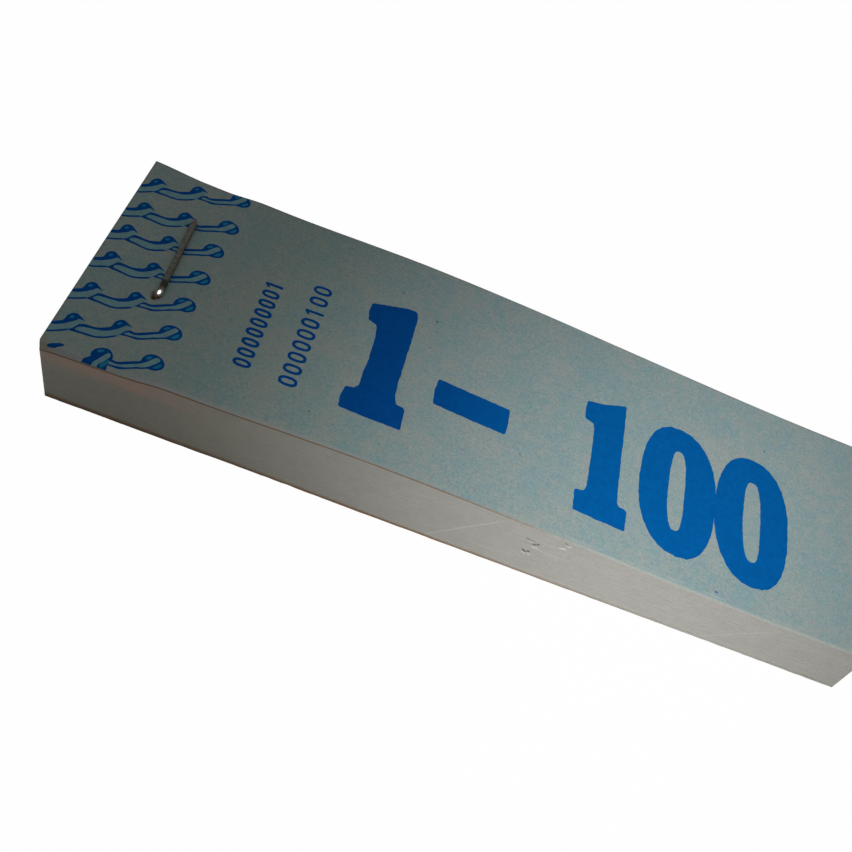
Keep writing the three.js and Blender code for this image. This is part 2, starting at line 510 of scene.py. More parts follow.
def blank_sheet(name, stations, rows, slit_columns=()):
    """A closed flat sheet over these cross lines and rows. Odd rows are cut out of the slit columns."""
    columns = len(stations) - 1
    deselect_all()
    bpy.ops.mesh.primitive_grid_add(x_subdivisions=columns, y_subdivisions=len(rows) - 1, size=1)
    blank = bpy.context.object
    blank.name = name
    points = get_points(blank)
    column = np.rint((points[:, 0] + 0.5) * columns).astype(int)
    row = np.rint((points[:, 1] + 0.5) * (len(rows) - 1)).astype(int)
    points[:, 0] = SPINE + np.asarray(stations)[column]
    points[:, 1] = np.asarray(rows)[row]
    set_points(blank, points)
    if slit_columns:
        spans = [(SPINE + stations[c], SPINE + stations[c + 1]) for c in slit_columns]
        slit_rows = [(rows[r], rows[r + 1]) for r in range(1, len(rows) - 1, 2)]

        def in_slit(face):
            x, y, _ = face.center
            return any(a < x < b for a, b in spans) and any(a < y < b for a, b in slit_rows)

        select_faces(blank, in_slit)
        bpy.ops.object.mode_set(mode="EDIT")
        bpy.ops.mesh.delete(type="FACE")
        bpy.ops.object.mode_set(mode="OBJECT")
    thicken(BLANK_DEPTH)
    return blank


def leg_punch():
    """Two round punches where the staple's legs go through."""
    punches = []
    for side in (-1, 1):
        deselect_all()
        place = staple_point(side * leg_reach(), BLANK_DEPTH / 2)
        bpy.ops.mesh.primitive_cylinder_add(
            vertices=HOLE_SIDES, radius=staple().wire / 2 + LEG_ROOM, depth=6 * BLANK_DEPTH, location=place
        )
        bpy.ops.object.transform_apply()
        punches.append(bpy.context.object)
    return join_pieces(punches, "leg_punch")


def groove_punch():
    """A round-ended punch that makes room for the clinched ends in the lowest leaves."""
    s = staple()
    deselect_all()
    bpy.ops.mesh.primitive_cube_add(size=1, location=(0, 0, BLANK_DEPTH / 2))
    punch = bpy.context.object
    punch.scale = (s.wire + 1.4 * MM, s.crown + 1.4 * MM, 6 * BLANK_DEPTH)
    bpy.ops.object.transform_apply()
    bpy.context.tool_settings.mesh_select_mode = (False, True, False)
    for edge in punch.data.edges:
        a, b = (punch.data.vertices[i].co for i in edge.vertices)
        edge.select = abs(a.z - b.z) > BLANK_DEPTH
    bpy.ops.object.mode_set(mode="EDIT")
    bpy.ops.mesh.bevel(offset=0.45 * s.wire, segments=3)
    bpy.ops.object.mode_set(mode="OBJECT")
    punch.rotation_euler.z = s.tilt
    middle = staple_point(0, 0)
    punch.location = (middle.x, middle.y, 0)
    bpy.ops.object.transform_apply()
    punch.name = "groove_punch"
    return punch


def punch_out(blank, punch):
    apply_modifier(blank, "BOOLEAN", object=punch, operation="DIFFERENCE", solver="EXACT")


def mark_cut_edges(piece):
    """Marks the upright faces of a flat blank, which stay its cut edges however the sheet bends."""
    mesh = piece.data
    normals = np.empty(len(mesh.polygons) * 3)
    mesh.polygons.foreach_get("normal", normals)
    upright = np.abs(normals.reshape(-1, 3)[:, 2]) < 0.6
    marks = mesh.attributes.new(CUT_EDGE, "INT", "FACE")
    marks.data.foreach_set("value", upright.astype(np.int32))


def lay_sheet(piece, under, over, trim=0.0):
    """Drapes a blank between two surfaces, and ends it where the guillotine's lean meets it."""
    b = book()
    mark_cut_edges(piece)
    points = get_points(piece)
    along = points[:, 0] - SPINE
    across = points[:, 1] * (1 - trim / b.width)
    on_top = points[:, 2] > BLANK_DEPTH / 2
    height = np.where(on_top, over(along, across), under(along, across))
    tail = b.length - b.tail_level
    squeeze = (b.tail_level - b.lean * height) / b.tail_level
    along = np.where(along > tail, tail + (along - tail) * squeeze, along)
    set_points(piece, np.stack([along + SPINE, across, height], axis=1))
    return piece


def thinned(lines):
    """The lines in order, without those that fall on the one before."""
    kept = []
    for line in sorted(lines):
        if not kept or line - kept[-1] > 0.04 * MM:
            kept.append(line)
    return kept


def even_rows(step):
    """Rows at an even step, and closer ones over the sagged corner of the front edge."""
    b = book()
    count = round(b.width / step)
    near = [FRONT + inward * MM for inward in (0.07, 0.14, 0.21, 0.28, 0.38, 0.6, 1)]
    return thinned(near + list(np.linspace(-b.width / 2, b.width / 2, count + 1)))


def slit_rows():
    """Rows that are by turns a bridge and a slit, a bridge first and last."""
    b = book()
    count = int(b.width / b.tear_pitch)
    margin = (b.width - count * b.tear_pitch) / 2
    rows = [-b.width / 2]
    for index in range(count):
        start = -b.width / 2 + margin + index * b.tear_pitch
        rows += [start + 0.22 * b.tear_pitch, start + 0.78 * b.tear_pitch]
    return rows + [b.width / 2]


def cross_lines(coarse, bend_length, start=0.0, end=None, extra=()):
    """Cross lines at a coarse step, and finer ones where the sheet bends behind the fold line."""
    b = book()
    end = b.length if end is None else end
    lines = set(np.linspace(start, end, max(2, round((end - start) / coarse) + 1)))
    lines |= {b.fold + bend_length * step / 10 for step in range(11)}
    lines |= {near * MM for near in (0.5, 1, 1.6, 3.5)}
    lines |= set(extra)
    kept = thinned(x for x in lines if start - 1e-9 <= x <= end + 1e-9)
    kept[-1] = end
    return kept


def fold_span(depth):
    """Length of the bend behind the fold line of a sheet that lies this deep below the axis."""
    return 1.0 * MM + 0.55 * depth


def slit_lines():
    b = book()
    return (b.tear - b.tear_slit / 2, b.tear + b.tear_slit / 2)


def leaf_depth(leaf):
    b = book()
    pitch = (b.fold_height - b.board - b.cover) / LEAF_COUNT
    return b.cover + (leaf - 0.5) * pitch


def cover_net():
    """The cover's cross lines and rows, closer near the staple."""
    s = staple()
    near_staple = [s.place + step * 0.25 * MM for step in range(-9, 10)]
    stations = cross_lines(CARD_STEP, fold_span(book().cover / 2), extra=near_staple)
    return stations, even_rows(CARD_ROW_STEP)


def bend_between(piece):
    """Bakes the sheet's place into its points. The fold line's pivot is looked up but not used."""
    pivot = Vector(next(joint for joint in frame["joints"] if joint["name"] == "cover_open")["pos_m"])
    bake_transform(piece)


# Materials

class NodeDesk:
    """Adds and joins the nodes of one material or group."""

    def __init__(self, tree):
        self.tree = tree

    def add(self, kind, inputs=None, **settings):
        node = self.tree.nodes.new(kind)
        for name, value in settings.items():
            setattr(node, name, value)
        for key, value in (inputs or {}).items():
            self.feed(node.inputs[key], value)
        return node

    def feed(self, socket, value):
        if isinstance(value, bpy.types.NodeSocket):
            self.tree.links.new(value, socket)
        elif socket.type == "RGBA" and len(value) == 3:
            socket.default_value = (*value, 1)
        else:
            socket.default_value = value

    def math(self, operation, first, second=0.0):
        return self.add("ShaderNodeMath", {0: first, 1: second}, operation=operation).outputs[0]

    def plus(self, first, second):
        return self.math("ADD", first, second)

    def minus(self, first, second):
        return self.math("SUBTRACT", first, second)

    def times(self, first, second):
        return self.math("MULTIPLY", first, second)

    def parts(self, vector):
        return self.add("ShaderNodeSeparateXYZ", {0: vector}).outputs

    def stretched(self, vector, scale, turn=(0, 0, 0)):
        return self.add("ShaderNodeMapping", {"Vector": vector, "Rotation": turn, "Scale": scale}).outputs[0]

    def vector(self, operation, first, second=(0, 0, 0)):
        node = self.add("ShaderNodeVectorMath", {0: first, 1: second}, operation=operation)
        return node.outputs["Value" if operation in ("LENGTH", "DOT_PRODUCT", "DISTANCE") else "Vector"]

    def scaled(self, vector, factor):
        return self.add("ShaderNodeVectorMath", {0: vector, "Scale": factor}, operation="SCALE").outputs[0]

    def mix(self, share, first, second):
        node = self.add("ShaderNodeMix", {0: share, 6: first, 7: second}, data_type="RGBA")
        return node.outputs[2]

    def laid(self, base, mask, strength, colour_over):
        """Lays a colour over the base where a mask shows, at this strength."""
        return self.mix(self.times(mask, strength), base, colour_over)

    def tinted(self, value, colour_socket):
        """Multiplies a colour by a value."""
        grey = self.add("ShaderNodeCombineColor", {0: value, 1: value, 2: value}).outputs[0]
        return self.add(
            "ShaderNodeMix", {0: 1.0, 6: colour_socket, 7: grey}, data_type="RGBA", blend_type="MULTIPLY"
        ).outputs[2]

    def band(self, value, low, high, out_low=0.0, out_high=1.0):
        """Maps a value from low..high to out_low..out_high, eased and held at both ends."""
        return self.add(
            "ShaderNodeMapRange",
            {0: value, 1: low, 2: high, 3: out_low, 4: out_high},
            interpolation_type="SMOOTHSTEP",
        ).outputs[0]

    def band_along(self, x, start, end, at_start=0.0, at_end=1.0):
        """A band between two places along the book, in millimetres from the stapled end."""
        return self.band(x, SPINE + start * MM, SPINE + end * MM, at_start, at_end)

    def mottle(self, vector, millimetres, detail=2.0, roughness=0.5):
        """Noise whose blotches are about this wide."""
        return self.noise(vector, 1 / (millimetres * MM), detail, roughness)

    def noise(self, vector, scale, detail=2.0, roughness=0.5, distortion=0.0):
        return self.add(
            "ShaderNodeTexNoise",
            {"Vector": vector, "Scale": scale, "Detail": detail, "Roughness": roughness,
             "Distortion": distortion},
        ).outputs["Fac"]


def node_group(name, inputs, outputs, build):
    group = bpy.data.node_groups.get(name)
    if group:
        return group
    group = bpy.data.node_groups.new(name, "ShaderNodeTree")
    for label, default in inputs.items():
        kind = "NodeSocketVector" if isinstance(default, tuple) else "NodeSocketFloat"
        socket = group.interface.new_socket(label, in_out="INPUT", socket_type=kind)
        socket.default_value = default
    for label in outputs:
        group.interface.new_socket(label, in_out="OUTPUT", socket_type="NodeSocketFloat")
    desk = NodeDesk(group)
    entry = desk.add("NodeGroupInput").outputs
    exit_sockets = desk.add("NodeGroupOutput").inputs
    for label, socket in build(desk, entry).items():
        desk.feed(exit_sockets[label], socket)
    return group


def pulp_group():
    """Cloudy blotches, fine grain and thin curling fibres of uncoated paper."""

    def build(desk, entry):
        place = entry["Vector"]
        blotch_scale = desk.math("DIVIDE", 1.0, entry["Blotch size"])
        grain_scale = desk.math("DIVIDE", 1.0, entry["Grain size"])
        blotch = desk.noise(place, blotch_scale, 4.0, 0.62, 0.4)
        cloud = desk.noise(place, desk.times(blotch_scale, 0.17), 2.0)
        grain = desk.noise(place, grain_scale, 3.0, 0.7)
        curl = desk.noise(place, desk.times(blotch_scale, 0.9), 1.0, 0.5, 3.2)
        off_line = desk.math("ABSOLUTE", desk.minus(curl, 0.5))
        line = desk.band(off_line, 0.0, 0.012, 1.0, 0.0)
        breaks = desk.band(desk.noise(place, desk.times(blotch_scale, 1.7)), 0.52, 0.62)
        return {
            "Blotch": blotch,
            "Cloud": cloud,
            "Grain": grain,
            "Fibres": desk.times(line, breaks),
        }

    return node_group(
        "Paper pulp",
        {"Vector": (0, 0, 0), "Blotch size": 0.001, "Grain size": 0.0001},
        ["Blotch", "Cloud", "Grain", "Fibres"],
        build,
    )


def speck_group():
    """Scattered small specks, in a share of the cells of a loose net."""

    def build(desk, entry):
        cells = desk.add(
            "ShaderNodeTexVoronoi",
            {"Vector": entry["Vector"], "Scale": desk.math("DIVIDE", 1.0, entry["Spacing"])},
        )
        near = desk.band(cells.outputs["Distance"], 0.03, entry["Size"], 1.0, 0.0)
        draw = desk.add("ShaderNodeSeparateColor", {0: cells.outputs["Color"]}).outputs[0]
        kept = desk.math("LESS_THAN", draw, entry["Share"])
        return {"Mask": desk.times(near, kept)}

    return node_group(
        "Specks",
        {"Vector": (0, 0, 0), "Spacing": 0.002, "Size": 0.08, "Share": 0.2},
        ["Mask"],
        build,
    )


def spot_group():
    """A soft round mark about a centre."""

    def build(desk, entry):
        distance = desk.vector("DISTANCE", entry["Vector"], entry["Centre"])
        core = desk.times(entry["Radius"], 0.45)
        return {"Mask": desk.band(distance, core, entry["Radius"], 1.0, 0.0)}

    return node_group(
        "Round mark",
        {"Vector": (0, 0, 0), "Centre": (0, 0, 0), "Radius": 0.001},
        ["Mask"],
        build,
    )


def scratch_group():
    """A thin mark along a straight line between two points."""

    def build(desk, entry):
        reach = desk.vector("SUBTRACT", entry["Vector"], entry["From"])
        run = desk.vector("SUBTRACT", entry["To"], entry["From"])
        share = desk.math("DIVIDE", desk.vector("DOT_PRODUCT", reach, run),
                          desk.vector("DOT_PRODUCT", run, run))
        held = desk.add("ShaderNodeClamp", {0: share}).outputs[0]
        miss = desk.vector("SUBTRACT", reach, desk.scaled(run, held))
        distance = desk.vector("LENGTH", miss)
        body = desk.band(distance, 0.0, entry["Width"], 1.0, 0.0)
        tail = desk.band(held, 0.75, 1.0, 1.0, 0.2)
        return {"Mask": desk.times(body, tail)}

    return node_group(
        "Scratch",
        {"Vector": (0, 0, 0), "From": (0, 0, 0), "To": (0, 0, 0), "Width": 0.0001},
        ["Mask"],
        build,
    )


def new_material(name):
    """A bare material, with the desk for its nodes, its shader and the rest-place vector."""
    material = bpy.data.materials.new(name)
    material.use_nodes = True
    desk = NodeDesk(material.node_tree)
    shader = material.node_tree.nodes["Principled BSDF"]
    place = desk.add("ShaderNodeAttribute", attribute_name=REST_PLACE).outputs["Vector"]
    return material, desk, shader, place


def join_look(desk, shader, base, roughness, specular):
    desk.feed(shader.inputs["Base Color"], base)
    desk.feed(shader.inputs["Roughness"], roughness)
    shader.inputs["Specular IOR Level"].default_value = specular


def add_bump(desk, shader, height, strength, distance):
    bump = desk.add("ShaderNodeBump", {"Height": height, "Strength": strength, "Distance": distance})
    desk.feed(shader.inputs["Normal"], bump.outputs["Normal"])


def cached(build):
    """Builds a material once and gives the same one afterwards."""
    made = {}

    def once():
        if build.__name__ not in made:
            made[build.__name__] = build()
        return made[build.__name__]

    return once


def mark_at(desk, vector, centre, radius):
    return desk.add(
        "ShaderNodeGroup", node_tree=spot_group(),
        inputs={"Vector": vector, "Centre": centre, "Radius": radius * MM},
    ).outputs[0]


def stroke_between(desk, vector, start, end, width):
    return desk.add(
        "ShaderNodeGroup", node_tree=scratch_group(),
        inputs={"Vector": vector, "From": start, "To": end, "Width": width * MM},
    ).outputs[0]


def specks_over(desk, vector, spacing, radius, share):
    return desk.add(
        "ShaderNodeGroup", node_tree=speck_group(),
        inputs={"Vector": vector, "Spacing": spacing * MM, "Size": radius, "Share": share},
    ).outputs[0]


def pulp_over(desk, vector, blotch, grain):
    return desk.add(
        "ShaderNodeGroup", node_tree=pulp_group(),
        inputs={"Vector": vector, "Blotch size": blotch * MM, "Grain size": grain * MM},
    ).outputs


# Marks on the cover: from the stapled end and the front edge, radius, colour and strength
COVER_MARKS = (
    ((45.4, 25.6), 0.20, (0.04, 0.035, 0.035), 0.9),
    ((45.6, 20.7), 0.17, (0.22, 0.10, 0.08), 0.8),
    ((39.6, 28.4), 0.20, (0.0, 0.12, 0.34), 0.75),
    ((36.9, 3.4), 0.18, (0.26, 0.14, 0.10), 0.6),
    ((33.5, 4.1), 0.19, (0.12, 0.06, 0.05), 0.75),
    ((98.3, 27.3), 0.19, (0.05, 0.07, 0.09), 0.85),
    ((85.6, 10.5), 0.2, (0.46, 0.28, 0.24), 0.5),
    ((56.8, 1.9), 0.17, (0.28, 0.16, 0.12), 0.6),
    ((64.9, 1.5), 0.16, (0.34, 0.20, 0.16), 0.5),
    ((61.5, 9.7), 0.17, (0.08, 0.10, 0.12), 0.6),
    ((9.15, 12.7), 0.42, (0.07, 0.03, 0.015), 0.95),
    ((8.75, 27.65), 0.5, (0.26, 0.09, 0.05), 0.8),
    ((7.4, 20.8), 0.5, (0.34, 0.19, 0.17), 0.5),
)
COVER_STROKES = (
    ((92.0, 1.25), (92.4, 1.2), 0.26, (0.0, 0.12, 0.42), 0.9),
    ((93.1, 0.98), (93.45, 0.95), 0.2, (0.05, 0.22, 0.44), 0.45),
    ((40.3, 28.0), (42.9, 26.4), 0.10, (0.50, 0.58, 0.58), 0.4),
)


@cached
def card_material():
    """Recycled cover card: blue-green and beige pulp, specks, worn rims and rust round the legs."""
    p = papers()
    material, desk, shader, place = new_material("recycled_cover_card")
    pulp = pulp_over(desk, place, 1.35, 0.24)
    other = pulp_over(desk, desk.vector("ADD", place, (0.013, 0.021, 0.0)), 0.85, 0.2)
    fine = desk.mottle(place, 0.45, 3.0, 0.6)
    drift = desk.mottle(place, 7, 2.0)
    warm = desk.plus(desk.times(pulp["Blotch"], 0.58), desk.times(fine, 0.22))
    warm = desk.plus(warm, desk.times(drift, 0.34))
    base = desk.mix(desk.band(warm, 0.36, 0.79), tuple(p.card_cool), tuple(p.card_warm))
    lilac = desk.band(other["Blotch"], 0.52, 0.68, 0.0, 0.34)
    base = desk.mix(lilac, base, (0.37, 0.38, 0.43))
    green = desk.band(other["Blotch"], 0.48, 0.32, 0.0, 0.34)
    base = desk.mix(green, base, (0.265, 0.43, 0.385))
    grain = desk.plus(desk.times(pulp["Grain"], 0.85), desk.times(fine, 0.30))
    base = desk.tinted(desk.plus(0.43, grain), base)
    base = desk.laid(base, pulp["Fibres"], 0.45, (0.40, 0.56, 0.62))
    base = desk.laid(base, other["Fibres"], 0.45, (0.58, 0.52, 0.46))
    dark = specks_over(desk, place, 1.5, 0.075, 0.22)
    base = desk.laid(base, dark, 0.4, (0.10, 0.14, 0.18))
    red = specks_over(desk, desk.vector("ADD", place, (0.31, 0.17, 0.0)), 2.6, 0.075, 0.22)
    base = desk.laid(base, red, 0.4, (0.42, 0.22, 0.17))

    parts = desk.parts(place)
    soiled = desk.band_along(parts[0], 22, 56, 1.0, 0.0)
    yellowed = desk.vector("MULTIPLY", base, (1.0, 0.99, 0.93))
    base = desk.mix(soiled, base, yellowed)
    ragged = desk.times(desk.minus(fine, 0.5), 0.5 * MM)
    from_front = desk.plus(desk.minus(parts[1], FRONT), ragged)
    from_back = desk.plus(desk.minus(-FRONT, parts[1]), ragged)
    from_spine = desk.plus(desk.minus(parts[0], SPINE), ragged)
    broken = desk.band(desk.mottle(place, 4.5, 3.0, 0.6), 0.42, 0.60)
    for distance in (from_back, from_spine):
        rim = desk.times(desk.band(distance, 0.12 * MM, 0.34 * MM, 0.75, 0.0), broken)
        base = desk.mix(rim, base, (0.31, 0.27, 0.245))
    near_staple = desk.band_along(parts[0], 34, 60, 1.0, 0.0)
    rim = desk.times(desk.band(from_front, 0.25 * MM, 0.6 * MM, 0.5, 0.0), near_staple)
    base = desk.mix(rim, base, (0.46, 0.44, 0.43))
    near_tail = desk.band_along(parts[0], 56, 80)
    for offset, strength in ((0.12, 0.55), (0.55, 0.5)):
        line = desk.math("ABSOLUTE", desk.minus(from_front, offset * MM))
        rim = desk.times(desk.band(line, 0.05 * MM, 0.2 * MM, strength, 0.0), near_tail)
        if offset > 0.3:
            rim = desk.times(rim, broken)
        base = desk.mix(rim, base, (0.50, 0.55, 0.51))
    tip = mark_at(desk, place, (SPINE, FRONT, cover_corner_height()), 1.9)
    base = desk.laid(base, tip, 0.6, (0.40, 0.31, 0.23))

    flat = desk.vector("MULTIPLY", place, (1, 1, 0))
    flat = desk.vector("ADD", flat, desk.scaled((1.0, -0.7, 0.0), desk.times(ragged, 0.6)))
    for side, reach in ((-1, 0.95), (1, 1.0)):
        leg = staple_point(side * leg_reach(), 0)
        patchy = desk.times(mark_at(desk, flat, tuple(leg), reach),
                           desk.band(fine, 0.3, 0.62, 0.25, 0.95))
        base = desk.mix(patchy, base, (0.17, 0.065, 0.03))
    for (along, inward), radius, tint, strength in COVER_MARKS:
        mask = mark_at(desk, flat, (SPINE + along * MM, FRONT + inward * MM, 0), radius)
        base = desk.laid(base, mask, strength, tint)
    for start, end, width, tint, strength in COVER_STROKES:
        ends = [(SPINE + x * MM, FRONT + y * MM, 0) for x, y in (start, end)]
        mask = stroke_between(desk, flat, *ends, width)
        base = desk.laid(base, mask, strength, tint)
    join_look(desk, shader, base, desk.band(pulp["Grain"], 0.2, 0.8, 0.76, 0.9), 0.2)
    add_bump(desk, shader, desk.plus(pulp["Grain"], desk.times(pulp["Fibres"], 0.5)),
             0.5, 0.02 * MM)
    return material


@cached
def card_edge_material():
    """Cut edge of the cover: brown core by the staple, paler towards the open end."""
    p = papers()
    material, desk, shader, place = new_material("cover_card_cut_edge")
    along = desk.parts(place)[0]
    stretch = desk.stretched(place, (0.25, 1, 1))
    grain = desk.mottle(stretch, 0.12, 3.0, 0.65)
    patches = desk.mottle(place, 1.6, 3.0, 0.6)
    paler = desk.band_along(along, 48, 90)
    share = desk.plus(paler, desk.times(patches, 0.7))
    share = desk.band(share, 0.30, 1.10)
    base = desk.mix(share, tuple(p.card_core), tuple(p.card_core_pale))
    base = desk.tinted(desk.plus(0.7, desk.times(grain, 0.6)), base)
    join_look(desk, shader, base, desk.band(grain, 0.2, 0.8, 0.85, 0.97), 0.2)
    add_bump(desk, shader, grain, 0.5, 0.03 * MM)
    return material


@cached
def leaf_material():
    """Face of a thin uncoated ticket leaf."""
    p = papers()
    material, desk, shader, place = new_material("ticket_leaf_paper")
    pulp = pulp_over(desk, place, 1.4, 0.09)
    shade = desk.plus(0.87, desk.times(pulp["Blotch"], 0.16))
    shade = desk.plus(shade, desk.times(pulp["Grain"], 0.10))
    base = desk.tinted(shade, tuple(p.leaf))
    base = desk.laid(base, pulp["Fibres"], 0.25, (0.36, 0.32, 0.26))
    join_look(desk, shader, base, desk.band(pulp["Grain"], 0.2, 0.8, 0.82, 0.94), 0.25)
    add_bump(desk, shader, pulp["Grain"], 0.25, 0.015 * MM)
    return material


# Pale lines on the front edge of the leaves: start and end from the stapled end and the underside
FRONT_SCRATCHES = (
    ((54.0, 0.8), (62.4, 12.2), 0.15, 1.0),
    ((68.2, 7.4), (72.9, 7.2), 0.14, 0.9),
    ((64.0, 3.95), (67.6, 4.2), 0.12, 0.6),
    ((61.1, 3.2), (66.9, 3.35), 0.11, 0.5),
    ((43.6, 4.0), (49.5, 10.7), 0.12, 0.45),
    ((95.8, 0.6), (103.0, 9.9), 0.15, 0.7),
    ((101.0, 5.2), (101.5, 6.6), 0.15, 0.6),
    ((50.4, 9.9), (53.6, 11.2), 0.12, 0.45),
    ((47.0, 7.4), (52.0, 8.9), 0.11, 0.35),
    ((28.0, 3.2), (37.5, 9.4), 0.10, 0.35),
    ((84.0, 2.2), (92.0, 7.8), 0.12, 0.4),
    ((76.0, 8.0), (84.0, 9.4), 0.11, 0.35),
)
# The torn nicks: dark strokes of painted shade in the nicks' pits, and the pale torn paper under them
NICK_PIT_SHADE = (
    ((65.78, 9.45), (66.3, 9.2), 0.16, 0.9),
    ((66.3, 9.2), (67.0, 9.35), 0.12, 0.8),
    ((67.07, 8.35), (67.25, 8.62), 0.2, 1.0),
    ((67.25, 8.62), (67.5, 8.42), 0.18, 1.0),
    ((67.58, 8.62), (67.65, 8.9), 0.2, 1.0),
    ((67.65, 8.9), (67.9, 8.62), 0.19, 1.0),
    ((66.44, 6.3), (66.75, 5.92), 0.22, 1.0),
    ((66.75, 5.92), (67.08, 5.84), 0.2, 1.0),
    ((67.12, 6.12), (67.2, 6.38), 0.24, 1.0),
    ((67.2, 6.38), (67.42, 6.12), 0.2, 1.0),
    ((69.45, 11.1), (70.4, 10.95), 0.1, 0.45),
    ((70.37, 11.6), (70.9, 11.4), 0.15, 0.85),
)
FRONT_TEARS = (
    ((66.5, 5.55), (67.1, 5.42), 0.17, 0.75),
    ((67.3, 5.6), (67.9, 5.45), 0.22, 1.0),
    ((67.2, 7.6), (68.1, 7.75), 0.25, 0.8),
    ((66.2, 8.85), (66.9, 8.9), 0.14, 0.5),
    ((70.3, 9.85), (71.0, 10.1), 0.3, 0.9),
    ((70.9, 10.95), (71.5, 11.1), 0.2, 0.75),
)


@cached
def leaf_edge_material():
    """Guillotined edges of the leaves: soft streaks, a pale pinkish-brown band by the staple, scratches, and
    torn nicks with painted shade in their pits.
    """
    p = papers()
    material, desk, shader, place = new_material("ticket_leaf_cut_edge")
    tone = desk.add("ShaderNodeAttribute", attribute_name=LEAF_TONE).outputs["Fac"]
    stretch = desk.stretched(place, (0.16, 0.16, 1))
    streaks = desk.mottle(stretch, 0.11, 3.0, 0.65)
    slant = desk.stretched(place, (0.12, 1, 1), (0, math.radians(34), 0))
    cuts = desk.mottle(slant, 0.22, 3.0, 0.6)
    grain = desk.mottle(place, 0.22, 4.0, 0.7)
    cloud = desk.mottle(place, 3.0, 4.0, 0.62)
    mottle = desk.mottle(place, 0.9, 3.0, 0.6)
    shade = desk.plus(0.50, desk.times(streaks, 0.10))
    for texture, weight in ((grain, 0.40), (cloud, 0.16), (mottle, 0.18), (cuts, 0.16)):
        shade = desk.plus(shade, desk.times(texture, weight))
    shade = desk.times(shade, tone)
    base = desk.tinted(shade, tuple(p.leaf_cut))
    parts = desk.parts(place)
    yellowed = desk.vector("MULTIPLY", base, (1.07, 1.05, 0.95))
    base = desk.mix(desk.band_along(parts[0], 18, 45, 1.0, 0.0), base, yellowed)
    pinkish = desk.vector("MULTIPLY", base, (1.03, 0.985, 1.0))
    base = desk.mix(desk.band(mottle, 0.45, 0.65), base, pinkish)
    # A pale pinkish-brown band along the top of the edge, below the cover by the stapled end
    from_spine = desk.band_along(parts[0], 10, 24, 1.0, 0.0)
    cloudy_height = desk.plus(parts[2], desk.times(desk.minus(cloud, 0.5), 2 * MM))
    below_cover = desk.band(cloudy_height, 8.2 * MM, 9.8 * MM)
    pink_band = desk.times(from_spine, below_cover)
    pink_band = desk.times(pink_band, desk.band(grain, 0.2, 0.7, 0.55, 0.9))
    base = desk.mix(pink_band, base, tuple(p.leaf_top_band))
    foot = desk.band(parts[2], 0.75 * MM, 1.3 * MM, 0.85, 0.0)
    foot = desk.times(foot, desk.band_along(parts[0], 18, 58, 1.0, 0.0))
    base = desk.mix(foot, base, tuple(p.board_cut))
    on_front = desk.math("LESS_THAN", parts[1], 0.0)
    flat_place = desk.vector("MULTIPLY", place, (1, 0, 1))
    uneven = desk.band(streaks, 0.3, 0.6, 0.6, 1.0)

    def front_stroke(start, end, width):
        ends = [(SPINE + x * MM, 0, z * MM) for x, z in (start, end)]
        return desk.times(stroke_between(desk, flat_place, *ends, width), on_front)

    for start, end, width, strength in FRONT_SCRATCHES:
        mark = desk.times(front_stroke(start, end, width), uneven)
        base = desk.laid(base, mark, strength, (0.64, 0.67, 0.62))
    # Pale torn paper, then near-black strokes of painted shade in the nicks' pits
    for strokes, tint in ((FRONT_TEARS, (0.66, 0.69, 0.68)), (NICK_PIT_SHADE, (0.03, 0.015, 0.014))):
        for start, end, width, strength in strokes:
            base = desk.laid(base, front_stroke(start, end, width), strength, tint)
    join_look(desk, shader, base, desk.band(grain, 0.2, 0.8, 0.82, 0.95), 0.2)
    height = desk.plus(streaks, desk.times(grain, 0.9))
    add_bump(desk, shader, height, 0.5, 0.03 * MM)
    return material


@cached
def flake_material():
    """Torn pale paper with a reddish root."""
    material, desk, shader, place = new_material("torn_paper_flake")
    grain = desk.mottle(place, 0.2, 3.0, 0.7)
    base = desk.mix(desk.band(grain, 0.3, 0.55), (0.50, 0.47, 0.45), (0.66, 0.68, 0.67))
    desk.feed(shader.inputs["Base Color"], base)
    desk.feed(shader.inputs["Roughness"], desk.band(grain, 0.2, 0.8, 0.85, 0.96))
    add_bump(desk, shader, grain, 0.4, 0.02 * MM)
    return material


@cached
def board_material():
    """Coarse grey-brown board."""
    p = papers()
    material, desk, shader, place = new_material("grey_brown_board")
    pulp = pulp_over(desk, place, 1.1, 0.14)
    shade = desk.plus(0.72, desk.times(pulp["Blotch"], 0.3))
    shade = desk.plus(shade, desk.times(pulp["Grain"], 0.25))
    base = desk.tinted(shade, tuple(p.board_face))
    base = desk.laid(base, pulp["Fibres"], 0.5, (0.42, 0.37, 0.29))
    dark = specks_over(desk, place, 1.3, 0.12, 0.35)
    base = desk.laid(base, dark, 0.5, (0.07, 0.05, 0.035))
    join_look(desk, shader, base, desk.band(pulp["Grain"], 0.2, 0.8, 0.86, 0.97), 0.2)
    add_bump(desk, shader, desk.plus(pulp["Grain"], pulp["Blotch"]), 0.6, 0.05 * MM)
    return material


